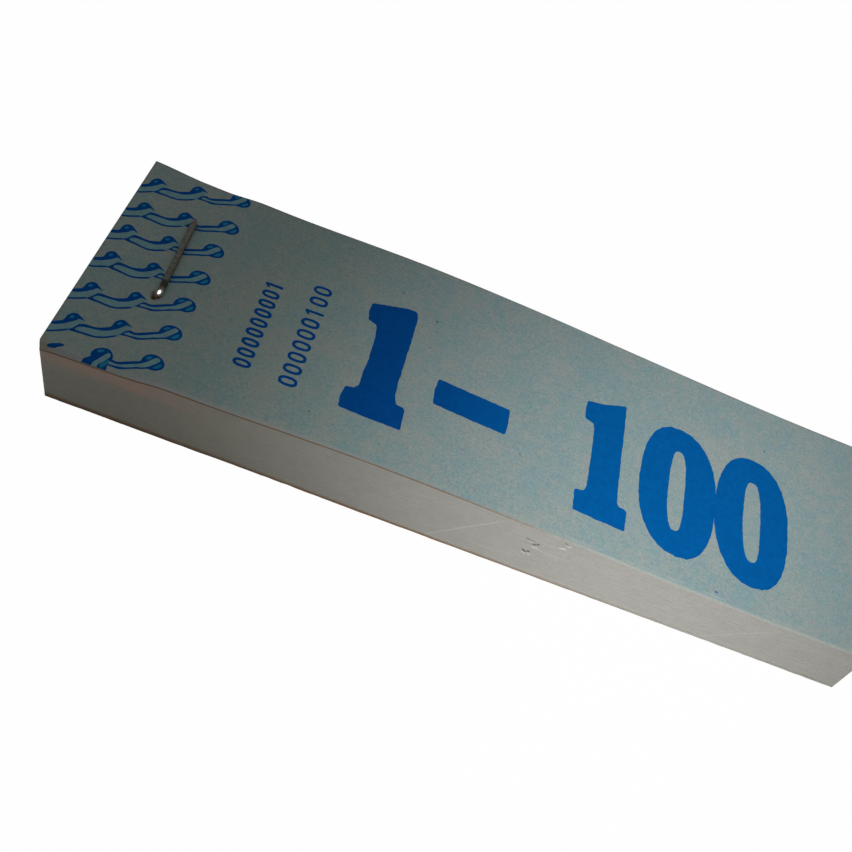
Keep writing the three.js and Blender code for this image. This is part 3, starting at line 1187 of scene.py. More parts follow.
@cached
def board_edge_material():
    """Fuzzy cut edge of the board, darker by the staple."""
    p = papers()
    material, desk, shader, place = new_material("grey_brown_board_cut_edge")
    stretch = desk.stretched(place, (0.3, 0.3, 1))
    layers = desk.mottle(stretch, 0.16, 3.0, 0.7)
    grain = desk.mottle(place, 0.2, 4.0, 0.7)
    parts = desk.parts(place)
    shade = desk.plus(0.45, desk.times(layers, 0.6))
    shade = desk.plus(shade, desk.times(grain, 0.5))
    base = desk.tinted(shade, tuple(p.board_cut))
    base = desk.mix(desk.band_along(parts[0], 40, 92), base,
                    desk.tinted(shade, (0.43, 0.425, 0.38)))
    worn_rim = desk.times(desk.band(parts[2], 0.12 * MM, 0.34 * MM, 0.75, 0.0),
                         desk.band_along(parts[0], 76, 96, 1.0, 0.0))
    base = desk.mix(worn_rim, base, (0.27, 0.145, 0.08))
    # A near-black line along the bottom of the cut edge, towards the stapled end
    dark_bottom_line = desk.band(parts[2], 0.1 * MM, 0.3 * MM, 0.8, 0.0)
    dark_bottom_line = desk.times(dark_bottom_line, desk.band_along(parts[0], 20, 48, 1.0, 0.0))
    base = desk.mix(dark_bottom_line, base, (0.07, 0.035, 0.02))
    join_look(desk, shader, base, desk.band(grain, 0.2, 0.8, 0.88, 0.98), 0.15)
    add_bump(desk, shader, desk.plus(layers, grain), 0.7, 0.06 * MM)
    return material


@cached
def wire_material():
    """Dull aged steel wire, rusty where it goes into the card and rubbed bright on one bend."""
    material, desk, shader, place = new_material("aged_staple_wire")
    stretch = desk.stretched(place, (1, 0.12, 1))
    drawn = desk.mottle(stretch, 0.07, 3.0, 0.6)
    patches = desk.mottle(place, 0.5, 4.0, 0.65)
    steel = desk.mix(desk.band(patches, 0.35, 0.7), (0.31, 0.305, 0.265), (0.19, 0.17, 0.14))
    rust_share = desk.band(patches, 0.60, 0.72, 0.0, 0.5)
    for side in (-1, 1):
        leg = staple_point(side * leg_reach(), crown_height() - 0.3 * MM)
        near = mark_at(desk, place, tuple(leg), 1.4)
        near = desk.times(near, desk.band(patches, 0.38, 0.58, 0.35, 1.0))
        rust_share = desk.math("MAXIMUM", rust_share, near)
    rust = desk.mix(drawn, (0.13, 0.05, 0.025), (0.30, 0.13, 0.06))
    # A dark patch on the crown just behind the front bend
    dark_patch_place = staple_point(-leg_reach() + staple().bend + 1.0 * MM, crown_height() + 0.2 * MM)
    dark_patch_place.x += sway(-leg_reach(), crown_height())
    dark_patch = mark_at(desk, place, tuple(dark_patch_place), 0.9)
    steel = desk.laid(steel, dark_patch, 0.85, (0.05, 0.045, 0.03))
    worn = mark_at(desk, place, tuple(facet_plane()[0]), 0.62)
    rust_share = desk.times(rust_share, desk.minus(1.0, worn))
    base = desk.mix(worn, desk.mix(rust_share, steel, rust), (0.82, 0.80, 0.74))
    desk.feed(shader.inputs["Base Color"], base)
    desk.feed(shader.inputs["Metallic"], desk.band(rust_share, 0.0, 0.6, 0.95, 0.15))
    rough = desk.plus(desk.band(drawn, 0.2, 0.8, 0.32, 0.48), desk.times(rust_share, 0.4))
    rough = desk.times(rough, desk.band(worn, 0.0, 0.8, 1.0, 0.3))
    desk.feed(shader.inputs["Roughness"], rough)
    height = desk.plus(desk.times(drawn, 0.4), desk.times(rust_share, patches))
    height = desk.times(height, desk.minus(1.0, worn))
    add_bump(desk, shader, height, 0.5, 0.03 * MM)
    return material


def ink_finish(name, solid, deep, near_staple=(1, 1, 1)):
    """Matt printing ink that takes up a little of the card's grain."""
    material, desk, shader, place = new_material(name)
    lay = desk.mottle(place, 0.9, 4.0, 0.65)
    grain = desk.mottle(place, 0.22, 3.0, 0.7)
    base = desk.mix(desk.band(lay, 0.3, 0.7), solid, deep)
    base = desk.tinted(desk.plus(0.88, desk.times(grain, 0.24)), base)
    along = desk.parts(place)[0]
    denser = desk.vector("MULTIPLY", base, near_staple)
    base = desk.mix(desk.band_along(along, 40, 70, 1.0, 0.0), base, denser)
    thin = specks_over(desk, place, 0.55, 0.13, 0.16)
    lighter = tuple(min(1.0, 0.9 * c + 0.05) for c in solid)
    base = desk.laid(base, thin, 0.3, lighter)
    join_look(desk, shader, base, desk.band(grain, 0.2, 0.8, 0.6, 0.8), 0.04)
    add_bump(desk, shader, grain, 0.3, 0.015 * MM)
    return material


@cached
def blue_ink():
    deep = tuple(inks().blue_deep)
    return ink_finish("blue_printing_ink", tuple(inks().blue), deep, near_staple=(1.0, 0.66, 0.81))


@cached
def tint_ink():
    return ink_finish("pale_blue_tint", tuple(inks().tint), tuple(0.85 * c for c in inks().tint))


@cached
def spot_ink():
    return ink_finish("middle_blue_tint", tuple(inks().spot), tuple(0.8 * c for c in inks().spot))


@cached
def floor_material():
    """Pale floor that the camera sees almost white, as in the cut-out photo."""
    material = bpy.data.materials.new("pale_floor")
    material.use_nodes = True
    desk = NodeDesk(material.node_tree)
    shader = material.node_tree.nodes["Principled BSDF"]
    desk.feed(shader.inputs["Base Color"], tuple(studio().floor))
    shader.inputs["Roughness"].default_value = 0.9
    glow = desk.add("ShaderNodeEmission", {"Color": (1, 1, 1), "Strength": 1.0}).outputs[0]
    seen = desk.add("ShaderNodeLightPath").outputs["Is Camera Ray"]
    share = desk.times(seen, 0.99)
    mixed = desk.add("ShaderNodeMixShader", {0: share, 1: shader.outputs[0], 2: glow}).outputs[0]
    desk.feed(material.node_tree.nodes["Material Output"].inputs["Surface"], mixed)
    return material


# Paper and board

def leaf_over(leaf, crest):
    """The top or the underside of a leaf, counted from the cover down, as a surface."""
    level = LEAF_COUNT - leaf + 1

    def surface(along, across):
        top = leaf_height(level, along, across)
        pitch = top - leaf_height(level - 1, along, across)
        return top if crest else top - np.minimum(book().leaf, 0.9 * pitch)

    return surface


def lay_leaf(blank, name, leaf, draws):
    piece = copy_piece(blank, name)
    lay_sheet(piece, leaf_over(leaf, False), leaf_over(leaf, True), trim=draws.uniform(0, 0.03) * MM)
    points = get_points(piece)
    points[:, 1] += draws.uniform(-0.008, 0.008) * MM
    set_points(piece, points)
    set_tone(piece, draws.uniform(0.965, 1.03))
    return piece


def leaf_label(leaf):
    return f"{leaf:03d}"


def packet_span(first):
    return f"{leaf_label(first)}_{leaf_label(first + PACKET_SIZE - 1)}"


def make_packet(first, last, name, blanks, draws):
    """Leaves first to last, each a sheet of its own, in one piece. The top one shows its slits."""
    top_blank, lower_blank = blanks
    leaves = []
    for leaf in range(first, last + 1):
        blank = top_blank if leaf == first else lower_blank
        leaves.append(lay_leaf(blank, f"{name}_{leaf}", leaf, draws))
    packet = join_pieces(leaves, name)
    finish_mesh(packet, leaf_material(), leaf_edge_material())
    return packet


def punched_blank(name, stations, rows, punches, slit_columns=()):
    blank = blank_sheet(name, stations, rows, slit_columns)
    for punch in punches:
        punch_out(blank, punch)
    return blank


def plain_sheet(name, bend_length, punches):
    return punched_blank(name, cross_lines(LEAF_STEP, bend_length), even_rows(LEAF_ROW_STEP), punches)


def slit_sheet(bend_length, punch):
    """A blank with its row of perforations, for a leaf that can be seen from above."""
    lines = cross_lines(LEAF_STEP, bend_length, extra=slit_lines())
    column = lines.index(min(lines, key=lambda x: abs(x - slit_lines()[0])))
    return punched_blank("slit_blank", lines, slit_rows(), [punch], (column,))


class TICKETBOOK_OT_back_board(bpy.types.Operator):
    """Lay the coarse back board, dented by the staple's ends and fuzzy at its cut edge"""

    bl_idname = "ticketbook.back_board"
    bl_label = "Back board"

    def execute(self, context):
        b = book()
        s = staple()
        near_staple = [s.place + step * 0.2 * MM for step in range(-9, 10)]
        stations = cross_lines(CARD_STEP, 0, extra=near_staple)
        rows = even_rows(CARD_ROW_STEP)
        punch = leg_punch()
        board = punched_blank("back_board_sheet", stations, rows, [punch])
        drop(punch)
        rise = clinch_height() + s.wire / 2 + CLINCH_ROOM

        def dented(along, across):
            turned = across - s.off_centre
            sideways = along - s.place + math.tan(s.tilt) * turned
            off_end = np.maximum(np.abs(turned) - s.crown / 2, 0)
            middle_gap = leg_reach() - s.clinch
            off_middle = np.maximum(middle_gap - 0.4 * MM - np.abs(turned), 0)
            distance = np.sqrt(sideways ** 2 + off_end ** 2 + off_middle ** 2)
            share = np.clip((distance - 0.5 * s.wire) / (0.9 * s.wire), 0, 1)
            return rise * (1 - share * share * (3 - 2 * share))

        def underside(along, across):
            warp = 0.14 * MM * np.exp(-((along - 30 * MM) / (9 * MM)) ** 2)
            return dented(along, across) + warp

        lay_sheet(board, underside, lambda along, across: b.board + dented(along, across))
        points = get_points(board)
        rim_x = (np.abs(points[:, 0] - SPINE) < 0.02 * MM) | (points[:, 0] > SPINE + b.length - 0.2 * MM)
        rim_y = np.abs(np.abs(points[:, 1]) - b.width / 2) < 0.02 * MM
        for index in np.nonzero(rim_x | rim_y)[0]:
            x, y, z = points[index]
            rough = noise.noise_vector(Vector((x, y, z)) / (0.8 * MM)) * 0.05 * MM
            points[index, 0] += rough.x
            points[index, 1] += rough.y
        set_points(board, points)
        finish_mesh(board, board_material(), board_edge_material())
        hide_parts("back_board")
        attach(board, "book")
        return {"FINISHED"}


class TICKETBOOK_OT_board_fibres(bpy.types.Operator):
    """Pull short loose fibres out of the board's cut edge"""

    bl_idname = "ticketbook.board_fibres"
    bl_label = "Board fibres"

    def execute(self, context):
        b = book()
        draws = random.Random(studio().seed + 11)
        fibres = []
        deselect_all()
        bpy.ops.mesh.primitive_cone_add(vertices=3, radius1=0.016 * MM, radius2=0.004 * MM, depth=1 * MM)
        model = bpy.context.object
        for number in range(FIBRE_COUNT):
            fibre = copy_piece(model, f"fibre_{number}")
            on_long_side = draws.random() < 0.77
            outward = draws.choice((-1, 1))
            run = draws.uniform(-0.5, 0.5)
            height = draws.uniform(0.04, 0.95) * b.board
            if on_long_side:
                place = Vector((SPINE + (run + 0.5) * b.length, outward * b.width / 2, height))
                aim = Vector((draws.uniform(-1.6, 1.6), outward, draws.uniform(-0.25, 0.35)))
            else:
                middle = SPINE + b.length / 2
                place = Vector((middle + outward * b.length / 2, run * b.width, height))
                aim = Vector((outward, draws.uniform(-1.6, 1.6), draws.uniform(-0.25, 0.35)))
            length_share = draws.uniform(0.10, 0.34)
            turn = aim.to_track_quat("Z", "Y").to_matrix()
            points = get_points(fibre)
            points[:, 2] = (points[:, 2] / MM + 0.35) * length_share * MM
            set_points(fibre, points @ np.array(turn).T + np.array(place))
            fibres.append(fibre)
        drop(model)
        tuft = join_pieces(fibres, "back_board_fibres")
        finish_mesh(tuft, board_edge_material())
        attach(tuft, "book")
        return {"FINISHED"}


class TICKETBOOK_OT_resting_leaves(bpy.types.Operator):
    """Stack the leaves that stay down on the board, packet by packet"""

    bl_idname = "ticketbook.resting_leaves"
    bl_label = "Resting leaves"

    def execute(self, context):
        draws = random.Random(studio().seed)
        legs = leg_punch()
        groove = groove_punch()
        plain = plain_sheet("plain_blank", 0, [legs])
        dented = plain_sheet("dented_blank", 0, [legs, groove])
        slit = slit_sheet(0, legs)
        for first in range(TURNING_LEAVES + 1, LEAF_COUNT, PACKET_SIZE):
            last = first + PACKET_SIZE - 1
            top_level = leaf_height(LEAF_COUNT - last, staple().place)
            lower = dented if top_level < 2.4 * MM else plain
            top = slit if first == TURNING_LEAVES + 1 else lower
            node = f"leaves_{packet_span(first)}"
            packet = make_packet(first, last, f"packet_{node}", (top, lower), draws)
            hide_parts(node)
            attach(packet, "book")
        drop(legs, groove, plain, dented, slit)
        return {"FINISHED"}


class TICKETBOOK_OT_turning_packets(bpy.types.Operator):
    """Lay the packets of leaves that turn behind the cover"""

    bl_idname = "ticketbook.turning_packets"
    bl_label = "Turning packets"

    def execute(self, context):
        draws = random.Random(studio().seed + 1)
        legs = leg_punch()
        for first in range(SINGLE_LEAVES + 1, TURNING_LEAVES + 1, PACKET_SIZE):
            last = first + PACKET_SIZE - 1
            depth = leaf_depth((first + last) / 2)
            plain = plain_sheet("plain_blank", fold_span(depth), [legs])
            slit = slit_sheet(fold_span(depth), legs)
            spread = packet_span(first)
            packet = make_packet(first, last, f"packet_tickets_{spread}", (slit, plain), draws)
            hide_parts(f"stubs_{spread}", f"tickets_{spread}")
            bend_between(packet)
            drop(plain, slit)
        drop(legs)
        return {"FINISHED"}


class TICKETBOOK_OT_single_leaves(bpy.types.Operator):
    """Lay the second to fifth leaf, which turn one by one"""

    bl_idname = "ticketbook.single_leaves"
    bl_label = "Single leaves"

    def execute(self, context):
        draws = random.Random(studio().seed + 2)
        legs = leg_punch()
        for leaf in range(2, SINGLE_LEAVES + 1):
            depth = leaf_depth(leaf)
            blank = slit_sheet(fold_span(depth), legs)
            label = leaf_label(leaf)
            piece = lay_leaf(blank, f"leaf_{label}_sheet", leaf, draws)
            finish_mesh(piece, leaf_material(), leaf_edge_material())
            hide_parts(f"leaf_{label}_stub", f"ticket_{label}")
            bend_between(piece)
            drop(blank)
        drop(legs)
        return {"FINISHED"}


class TICKETBOOK_OT_first_leaf(bpy.types.Operator):
    """Lay the first leaf in two: the stub with its strip, and the ticket that tears off"""

    bl_idname = "ticketbook.first_leaf"
    bl_label = "First leaf"

    def execute(self, context):
        b = book()
        draws = random.Random(studio().seed + 3)
        depth = leaf_depth(1)
        legs = leg_punch()
        lines = cross_lines(LEAF_STEP, fold_span(depth), 0, b.tear, extra=slit_lines()[:1])
        blank = punched_blank("strip_blank", lines, slit_rows(), [legs], (len(lines) - 2,))
        strip = lay_leaf(blank, "leaf_001_stub_and_strip", 1, draws)
        finish_mesh(strip, leaf_material(), leaf_edge_material())
        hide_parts("leaf_001_stub", "leaf_001_strip")
        bend_between(strip)
        drop(blank, legs)
        lines = cross_lines(LEAF_STEP, 0, b.tear + 0.02 * MM, b.length, extra=slit_lines()[1:])
        blank = blank_sheet("ticket_blank", lines, slit_rows(), (0,))
        ticket = lay_leaf(blank, "ticket_001_sheet", 1, draws)
        finish_mesh(ticket, leaf_material(), leaf_edge_material())
        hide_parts("ticket_001")
        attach(ticket, "ticket_001")
        drop(blank)
        return {"FINISHED"}


class TICKETBOOK_OT_front_cover(bpy.types.Operator):
    """Lay the card cover in one sheet, creased behind the staple"""

    bl_idname = "ticketbook.front_cover"
    bl_label = "Front cover"

    def execute(self, context):
        stations, rows = cover_net()
        legs = leg_punch()
        cover = punched_blank("front_cover_sheet", stations, rows, [legs])
        drop(legs)
        lay_sheet(cover, cover_under, cover_top)
        finish_mesh(cover, card_material(), card_edge_material())
        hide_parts("front_cover_stub", "front_cover_flap")
        bend_between(cover)
        return {"FINISHED"}


class TICKETBOOK_OT_wire_staple(bpy.types.Operator):
    """Bend the wire staple through the book"""

    bl_idname = "ticketbook.wire_staple"
    bl_label = "Wire staple"

    def execute(self, context):
        s = staple()
        reach = leg_reach()
        bend = s.bend
        top = crown_height()
        low = clinch_height()
        steps = 14

        def wire_point(across, height):
            point = staple_point(across, height)
            point.x += sway(across, height)
            return point

        def bend_points(across, height, start, end):
            angles = np.linspace(start, end, steps + 1)
            return [wire_point(across + bend * math.cos(a), height + bend * math.sin(a)) for a in angles]

        quarter = math.pi / 2
        crown = [
            wire_point(share * (reach - bend), top - 0.03 * MM * (1 - share * share))
            for share in (-0.6, -0.2, 0.2, 0.6)
        ]
        route = [
            staple_point(-reach + s.clinch, low),
            *bend_points(-reach + bend, low + bend, 3 * quarter, 2 * quarter),
            *bend_points(-reach + bend, top - bend, 2 * quarter, quarter),
            *crown,
            *bend_points(reach - bend, top - bend, quarter, 0),
            *bend_points(reach - bend, low + bend, 0, -quarter),
            staple_point(reach - s.clinch, low),
        ]
        curve = bpy.data.curves.new("staple_route", "CURVE")
        curve.dimensions = "3D"
        spline = curve.splines.new("POLY")
        spline.points.add(len(route) - 1)
        for point, place in zip(spline.points, route):
            point.co = (*place, 1)
        curve.bevel_depth = s.wire / 2
        curve.bevel_resolution = 10
        curve.use_fill_caps = True
        wire = mesh_from("staple_wire", curve, 0.002 * MM)
        middle, way = (np.array(vector) for vector in facet_plane())
        points = get_points(wire)
        beyond = np.maximum((points - middle) @ way, 0)
        set_points(wire, points - beyond[:, None] * way)
        apply_modifier(wire, "BEVEL", width=0.06 * MM, segments=2, limit_method="ANGLE",
                       angle_limit=math.radians(60))
        point_outward()
        finish_mesh(wire, wire_material(), smooth_degrees=45)
        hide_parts("wire_staple")
        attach(wire, "book")
        return {"FINISHED"}


# Print. Shapes are drawn in millimetres from the stapled end and the front edge

def rounded(points, radius, steps=3):
    """The corners of a closed outline, each turned into a short arc."""
    outline = []
    count = len(points)
    for index in range(count):
        before, here, after = (Vector(points[(index + k) % count]) for k in (-1, 0, 1))
        cut = min(radius, (before - here).length / 2.2, (after - here).length / 2.2)
        start = here + (before - here).normalized() * cut
        end = here + (after - here).normalized() * cut
        for step in range(steps + 1):
            t = step / steps
            outline.append(start * (1 - t) ** 2 + here * 2 * t * (1 - t) + end * t * t)
    return outline


def smoothed(points, steps=4):
    """A closed smooth line through the points of an outline."""
    dots = np.array(points, float)
    outline = []
    for index in range(len(dots)):
        a, b, c, d = (dots[(index + k) % len(dots)] for k in (-1, 0, 1, 2))
        for step in range(steps):
            t = step / steps
            turn = (2 * a - 5 * b + 4 * c - d) * t ** 2 + (3 * b - a - 3 * c + d) * t ** 3
            outline.append(b + 0.5 * ((c - a) * t + turn))
    return outline


def roughened(points, amplitude, spacing=0.33, wavelength=0.5):
    """An outline cut into short stretches that stray a little, like ink on coarse card."""
    outline = []
    for start, end in zip(points, list(points[1:]) + [points[0]]):
        start, end = Vector(start), Vector(end)
        count = max(1, round((end - start).length / spacing))
        for step in range(count):
            place = start.lerp(end, step / count)
            stray = noise.noise_vector(Vector((place.x, place.y, 0)) / wavelength) * amplitude
            outline.append((place.x + stray.x, place.y + stray.y))
    return outline


def flat_print(name, outlines):
    """A flat filled shape with holes, as a mesh in the plane z = 0."""
    curve = bpy.data.curves.new(name, "CURVE")
    curve.dimensions = "2D"
    curve.fill_mode = "BOTH"
    for outline in outlines:
        spline = curve.splines.new("POLY")
        spline.points.add(len(outline) - 1)
        for dot, (x, y) in zip(spline.points, outline):
            dot.co = (x, y, 0, 1)
        spline.use_cyclic_u = True
    return mesh_from(name, curve, 0.001)


def cut_across(shape, axis, places, keep=None):
    """Cuts a flat shape along lines across one axis, in millimetres."""
    normal = [0, 0, 0]
    normal[axis] = 1
    make_active(shape)
    bpy.ops.object.mode_set(mode="EDIT")
    for place in places:
        point = [0, 0, 0]
        point[axis] = place
        bpy.ops.mesh.select_all(action="SELECT")
        bpy.ops.mesh.bisect(
            plane_co=point, plane_no=normal, clear_outer=keep == "below", clear_inner=keep == "above"
        )
    bpy.ops.object.mode_set(mode="OBJECT")


def drape_print(shape, surface, film, net):
    """Cuts a flat shape along the net of its sheet, lays it there and gives the ink its thickness."""
    b = book()
    for axis, limit in ((0, b.length / MM), (1, b.width / MM)):
        low, high = (get_points(shape)[:, axis].min(), get_points(shape)[:, axis].max())
        if low < PRINT_MARGIN:
            cut_across(shape, axis, [PRINT_MARGIN], "above")
        if high > limit - PRINT_MARGIN:
            cut_across(shape, axis, [limit - PRINT_MARGIN], "below")
        least, most = max(low, 0.1), min(high, limit - 0.1)
        cut_across(shape, axis, [line for line in net[axis] if least < line < most])
    points = get_points(shape)
    points[:, :2] *= MM
    points[:, 0] += SPINE
    points[:, 1] += FRONT
    set_points(shape, points)
    make_active(shape)
    thicken(BLANK_DEPTH)
    points = get_points(shape)
    lift = np.where(points[:, 2] > BLANK_DEPTH / 2, film, -0.006 * MM)
    points[:, 2] = surface(points[:, 0] - SPINE, points[:, 1]) + lift
    set_points(shape, points)
    return shape


def print_on_cover(shape, film):
    """Lays a flat shape on the cover, cut along the cover's own net so that both bend alike."""
    stations, rows = cover_net()
    net = ([x / MM for x in stations], [(y - FRONT) / MM for y in rows])
    drape_print(shape, flat_sided(cover_top, stations, rows), film, net)


FIRST_ONE = (
    (36.0, 24.6), (39.1, 25.4), (41.2, 25.95), (42.4, 25.9), (42.75, 24.4), (42.9, 18.9), (43.0, 13.3),
    (43.2, 10.8), (43.6, 9.7), (44.9, 9.6), (45.2, 6.1), (39.3, 6.2), (36.6, 6.35), (36.4, 8.0),
    (36.6, 9.8), (37.7, 9.9), (38.2, 10.6), (38.1, 13.3), (38.2, 15.0), (38.0, 18.9), (37.8, 20.6),
    (37.5, 21.25), (36.3, 21.5), (35.9, 23.2),
)
DASH = (
    (48.05, 16.3), (53.5, 16.05), (58.7, 15.9), (58.95, 13.3), (58.8, 11.7), (54.0, 11.8), (48.2, 12.1),
    (47.95, 14.4),
)
SECOND_ONE = (
    (69.5, 23.0), (71.8, 23.4), (75.5, 24.8), (75.7, 21.3), (75.9, 14.7), (76.2, 8.5), (76.5, 8.0),
    (77.8, 7.8), (77.9, 4.6), (74.0, 4.65), (70.1, 4.8), (69.9, 8.0), (71.2, 8.2), (71.5, 8.9),
    (71.4, 14.7), (71.2, 18.3), (71.0, 19.5), (69.6, 19.8), (69.4, 21.4),
)


def loop_outline(left, right, top, bottom, squareness, points=28):
    """A closed loop like a narrow O: left and right x, and the top and bottom points."""
    outline = []
    for index in range(points):
        turn = 2 * math.pi * index / points
        c, s = math.cos(turn), math.sin(turn)
        across = math.copysign(abs(c) ** squareness, c)
        up = math.copysign(abs(s) ** squareness, s)
        share = (up + 1) / 2
        middle_x = (left + right) / 2
        lean = (top[0] - middle_x) * share + (bottom[0] - middle_x) * (1 - share)
        x = middle_x + lean * abs(up) + across * (right - left) / 2
        y = bottom[1] + (top[1] - bottom[1]) * share
        outline.append((x, y))
    return outline


ZEROS = (
    ((78.9, 90.95, (84.3, 24.8), (85.6, 4.0)), (83.45, 86.0, (84.6, 20.9), (85.0, 7.8))),
    ((90.75, 102.55, (96.4, 24.8), (97.3, 3.95)), (95.35, 98.1, (96.6, 20.8), (97.0, 7.75))),
)


class TICKETBOOK_OT_cover_numerals(bpy.types.Operator):
    """Print the large plain numbers of the first and last ticket on the cover"""

    bl_idname = "ticketbook.cover_numerals"
    bl_label = "Cover numerals"

    def execute(self, context):
        shapes = [
            ("numeral_first_one", [rounded(FIRST_ONE, 0.35)]),
            ("numeral_dash", [rounded(DASH, 0.3)]),
            ("numeral_last_one", [rounded(SECOND_ONE, 0.35)]),
        ]
        for number, (outer, counter) in enumerate(ZEROS, 1):
            outlines = [loop_outline(*outer, 0.86), loop_outline(*counter, 0.72)]
            shapes.append((f"numeral_zero_{number}", outlines))
        for order, (name, outlines) in enumerate(shapes):
            shape = flat_print(name, [roughened(outline, 0.085) for outline in outlines])
            print_on_cover(shape, inks().film + order % 2 * 0.002 * MM)
            finish_mesh(shape, blue_ink())
            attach(shape, "cover")
        return {"FINISHED"}


def digit_outlines(digit, left, foot, width, height, stroke):
    """A plain condensed 0 or 1, read with its foot on a base line."""
    if digit == "0":
        middle = left + width / 2
        outer = loop_outline(left, left + width, (middle, foot + height), (middle, foot), 0.8, 20)
        inner = loop_outline(
            left + stroke, left + width - stroke,
            (middle, foot + height - stroke), (middle, foot + stroke), 0.8, 16,
        )
        return [outer, inner]
    stem = left + width * 0.62
    return [[
        (stem - stroke, foot), (stem, foot), (stem, foot + height), (stem - 0.8 * stroke, foot + height),
        (stem - 1.9 * stroke, foot + height * 0.84), (stem - 1.9 * stroke, foot + height * 0.70),
        (stem - stroke, foot + height * 0.78),
    ]]


# The two small lines: digits, base line from the stapled end, first and last digit from the front edge
SERIAL_LINES = (
    ("000000001", 24.4, 7.0, 22.3, 2.45),
    ("000000100", 30.8, 6.6, 24.4, 2.6),
)
SERIAL_STROKE = 0.42
SERIAL_DRIFT = 0.5


class TICKETBOOK_OT_cover_serials(bpy.types.Operator):
    """Print the two small lines of plain digits across the cover"""

    bl_idname = "ticketbook.cover_serials"
    bl_label = "Cover serials"

    def execute(self, context):
        for number, (digits, base, start, end, height) in enumerate(SERIAL_LINES, 1):
            pitch = (end - start) / (len(digits) - 0.2)
            width = pitch * 0.76
            outlines = []
            for index, digit in enumerate(digits):
                for outline in digit_outlines(digit, index * pitch, 0, width, height, SERIAL_STROKE):
                    placed = [
                        (base - y - SERIAL_DRIFT * x / (end - start), start + x) for x, y in outline
                    ]
                    outlines.append(roughened(placed, 0.04, 0.3))
            shape = flat_print(f"serial_line_{number}", outlines)
            print_on_cover(shape, inks().film)
            finish_mesh(shape, blue_ink())
            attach(shape, "cover")
        return {"FINISHED"}


# The rope border, traced about the middle knob of a row. A filled dark shape lies lowest,
# with the pale band and the highlights printed over it

LINK_DARK = (
    (-4.94, -3.24), (-4.66, -2.81), (-4.36, -2.38), (-4.15, -1.94), (-3.69, -1.71), (-3.15, -1.67),
    (-2.53, -1.64), (-1.89, -1.51), (-1.25, -1.19), (-0.76, -0.87), (-0.64, -0.5), (-0.58, 0.03),
    (-0.33, 0.44), (-0.01, 0.68), (0.41, 0.7), (0.87, 0.45), (1.27, 0.2), (1.63, -0.07), (1.3, -0.35),
    (1.02, -0.8), (0.75, -1.4), (0.45, -2.02), (0.18, -2.28), (-0.5, -2.7), (-1.25, -3.06), (-1.88, -3.2),
    (-2.63, -3.24), (-3.32, -3.24), (-3.84, -3.28), (-4.31, -3.3), (-4.65, -3.29),
)
LINK_BAND = (
    (1.63, -0.07), (1.21, -0.01), (0.86, -0.02), (0.54, -0.42), (0, -0.98), (-0.63, -1.48), (-1.26, -1.8),
    (-1.91, -1.93), (-2.51, -2.01), (-3.1, -2.09), (-3.55, -2.18), (-3.91, -2.3), (-4.16, -2.53),
    (-4.27, -2.83), (-3.97, -2.93), (-3.42, -2.93), (-2.72, -2.95), (-1.96, -2.93), (-1.32, -2.79),
    (-0.58, -2.41), (0.1, -2.0), (0.41, -1.9), (0.75, -1.5), (1.0, -1.05), (1.25, -0.6), (1.5, -0.25),
)
LINK_SPOT = ((-0.27, -0.16), (-0.19, 0.11), (0.04, 0.24), (0.24, 0.18), (0.2, -0.05), (-0.04, -0.25))
LOOP_DARK = (
    (0.24, -1.7), (0.72, -1.23), (1.05, -0.81), (1.36, -0.5), (1.68, -0.39), (2.07, -0.46), (2.47, -0.35),
    (3.06, -0.02), (3.77, 0.4), (4.38, 0.72), (4.72, 0.91), (4.79, 1.24), (4.82, 1.6), (5.03, 2.0),
    (5.29, 2.26), (5.72, 2.48), (6.22, 2.52), (6.8, 2.39), (7.29, 2.09), (7.63, 1.68), (7.75, 1.23),
    (7.66, 0.8), (7.41, 0.51), (6.99, 0.27), (6.59, 0.18), (6.15, 0.18), (5.82, 0.09), (5.2, -0.2),
    (4.52, -0.5), (3.86, -0.86), (3.27, -1.19), (2.76, -1.38), (2.19, -1.4), (1.62, -1.45), (1.08, -1.53),
    (0.62, -1.64),
)
LOOP_BAND = (
    (1.13, -1.16), (1.49, -0.8), (1.85, -0.79), (2.3, -0.81), (2.87, -0.61), (3.59, -0.21), (4.29, 0.21),
    (5.01, 0.61), (5.43, 1.02), (5.88, 1.56), (6.22, 2.0), (6.51, 2.2), (6.84, 2.1), (7.0, 1.9),
    (6.89, 1.62), (6.55, 1.18), (6.21, 0.75), (5.84, 0.4), (5.23, 0.09), (4.59, -0.15), (4.12, -0.42),
    (3.52, -0.74), (3.02, -0.95), (2.48, -1.06), (2.01, -1.15), (1.52, -1.21),
)
LOOP_SPOTS = (
    ((6.58, 0.55), (6.73, 0.91), (7.04, 1.24), (7.24, 1.47), (7.4, 1.3), (7.38, 1.0), (7.18, 0.72),
     (6.85, 0.53)),
    ((5.16, 1.6), (5.35, 1.93), (5.67, 2.07), (5.92, 2.03), (5.8, 1.74), (5.47, 1.46)),
)
# The front row's middle link is cut off by the edge, and of its first link only a dab is left
FRONT_DARK = (
    (5.1, -0.5), (6.07, 0.85), (5.97, 1.33), (6.11, 1.96), (6.52, 2.45), (7.12, 2.77), (7.77, 2.75),
    (8.34, 2.33), (8.59, 1.76), (8.54, 1.3), (8.5, 0.7), (8.1, -0.5),
)
FRONT_BAND = (
    (6.2, -0.5), (6.44, -0.12), (6.94, 0.61), (7.38, 1.51), (7.8, 2.21), (8.1, 2.2), (8.2, 1.7),
    (7.74, 0.73), (7.35, 0.2), (6.9, -0.5),
)
FRONT_SPOTS = (
    ((7.57, 0.17), (7.88, 0.87), (8.3, 1.35), (8.42, 0.74), (8.1, 0.2)),
    ((6.5, 2.0), (6.72, 2.3), (7.12, 2.45), (7.3, 2.28), (7.05, 1.98), (6.72, 1.85)),
)
FRONT_DAB = (
    (0.9, 0.19), (1.3, 0.36), (1.9, 0.66), (2.45, 0.92), (2.85, 0.86), (2.5, 0.42), (1.95, 0.22),
    (1.35, 0.17),
)
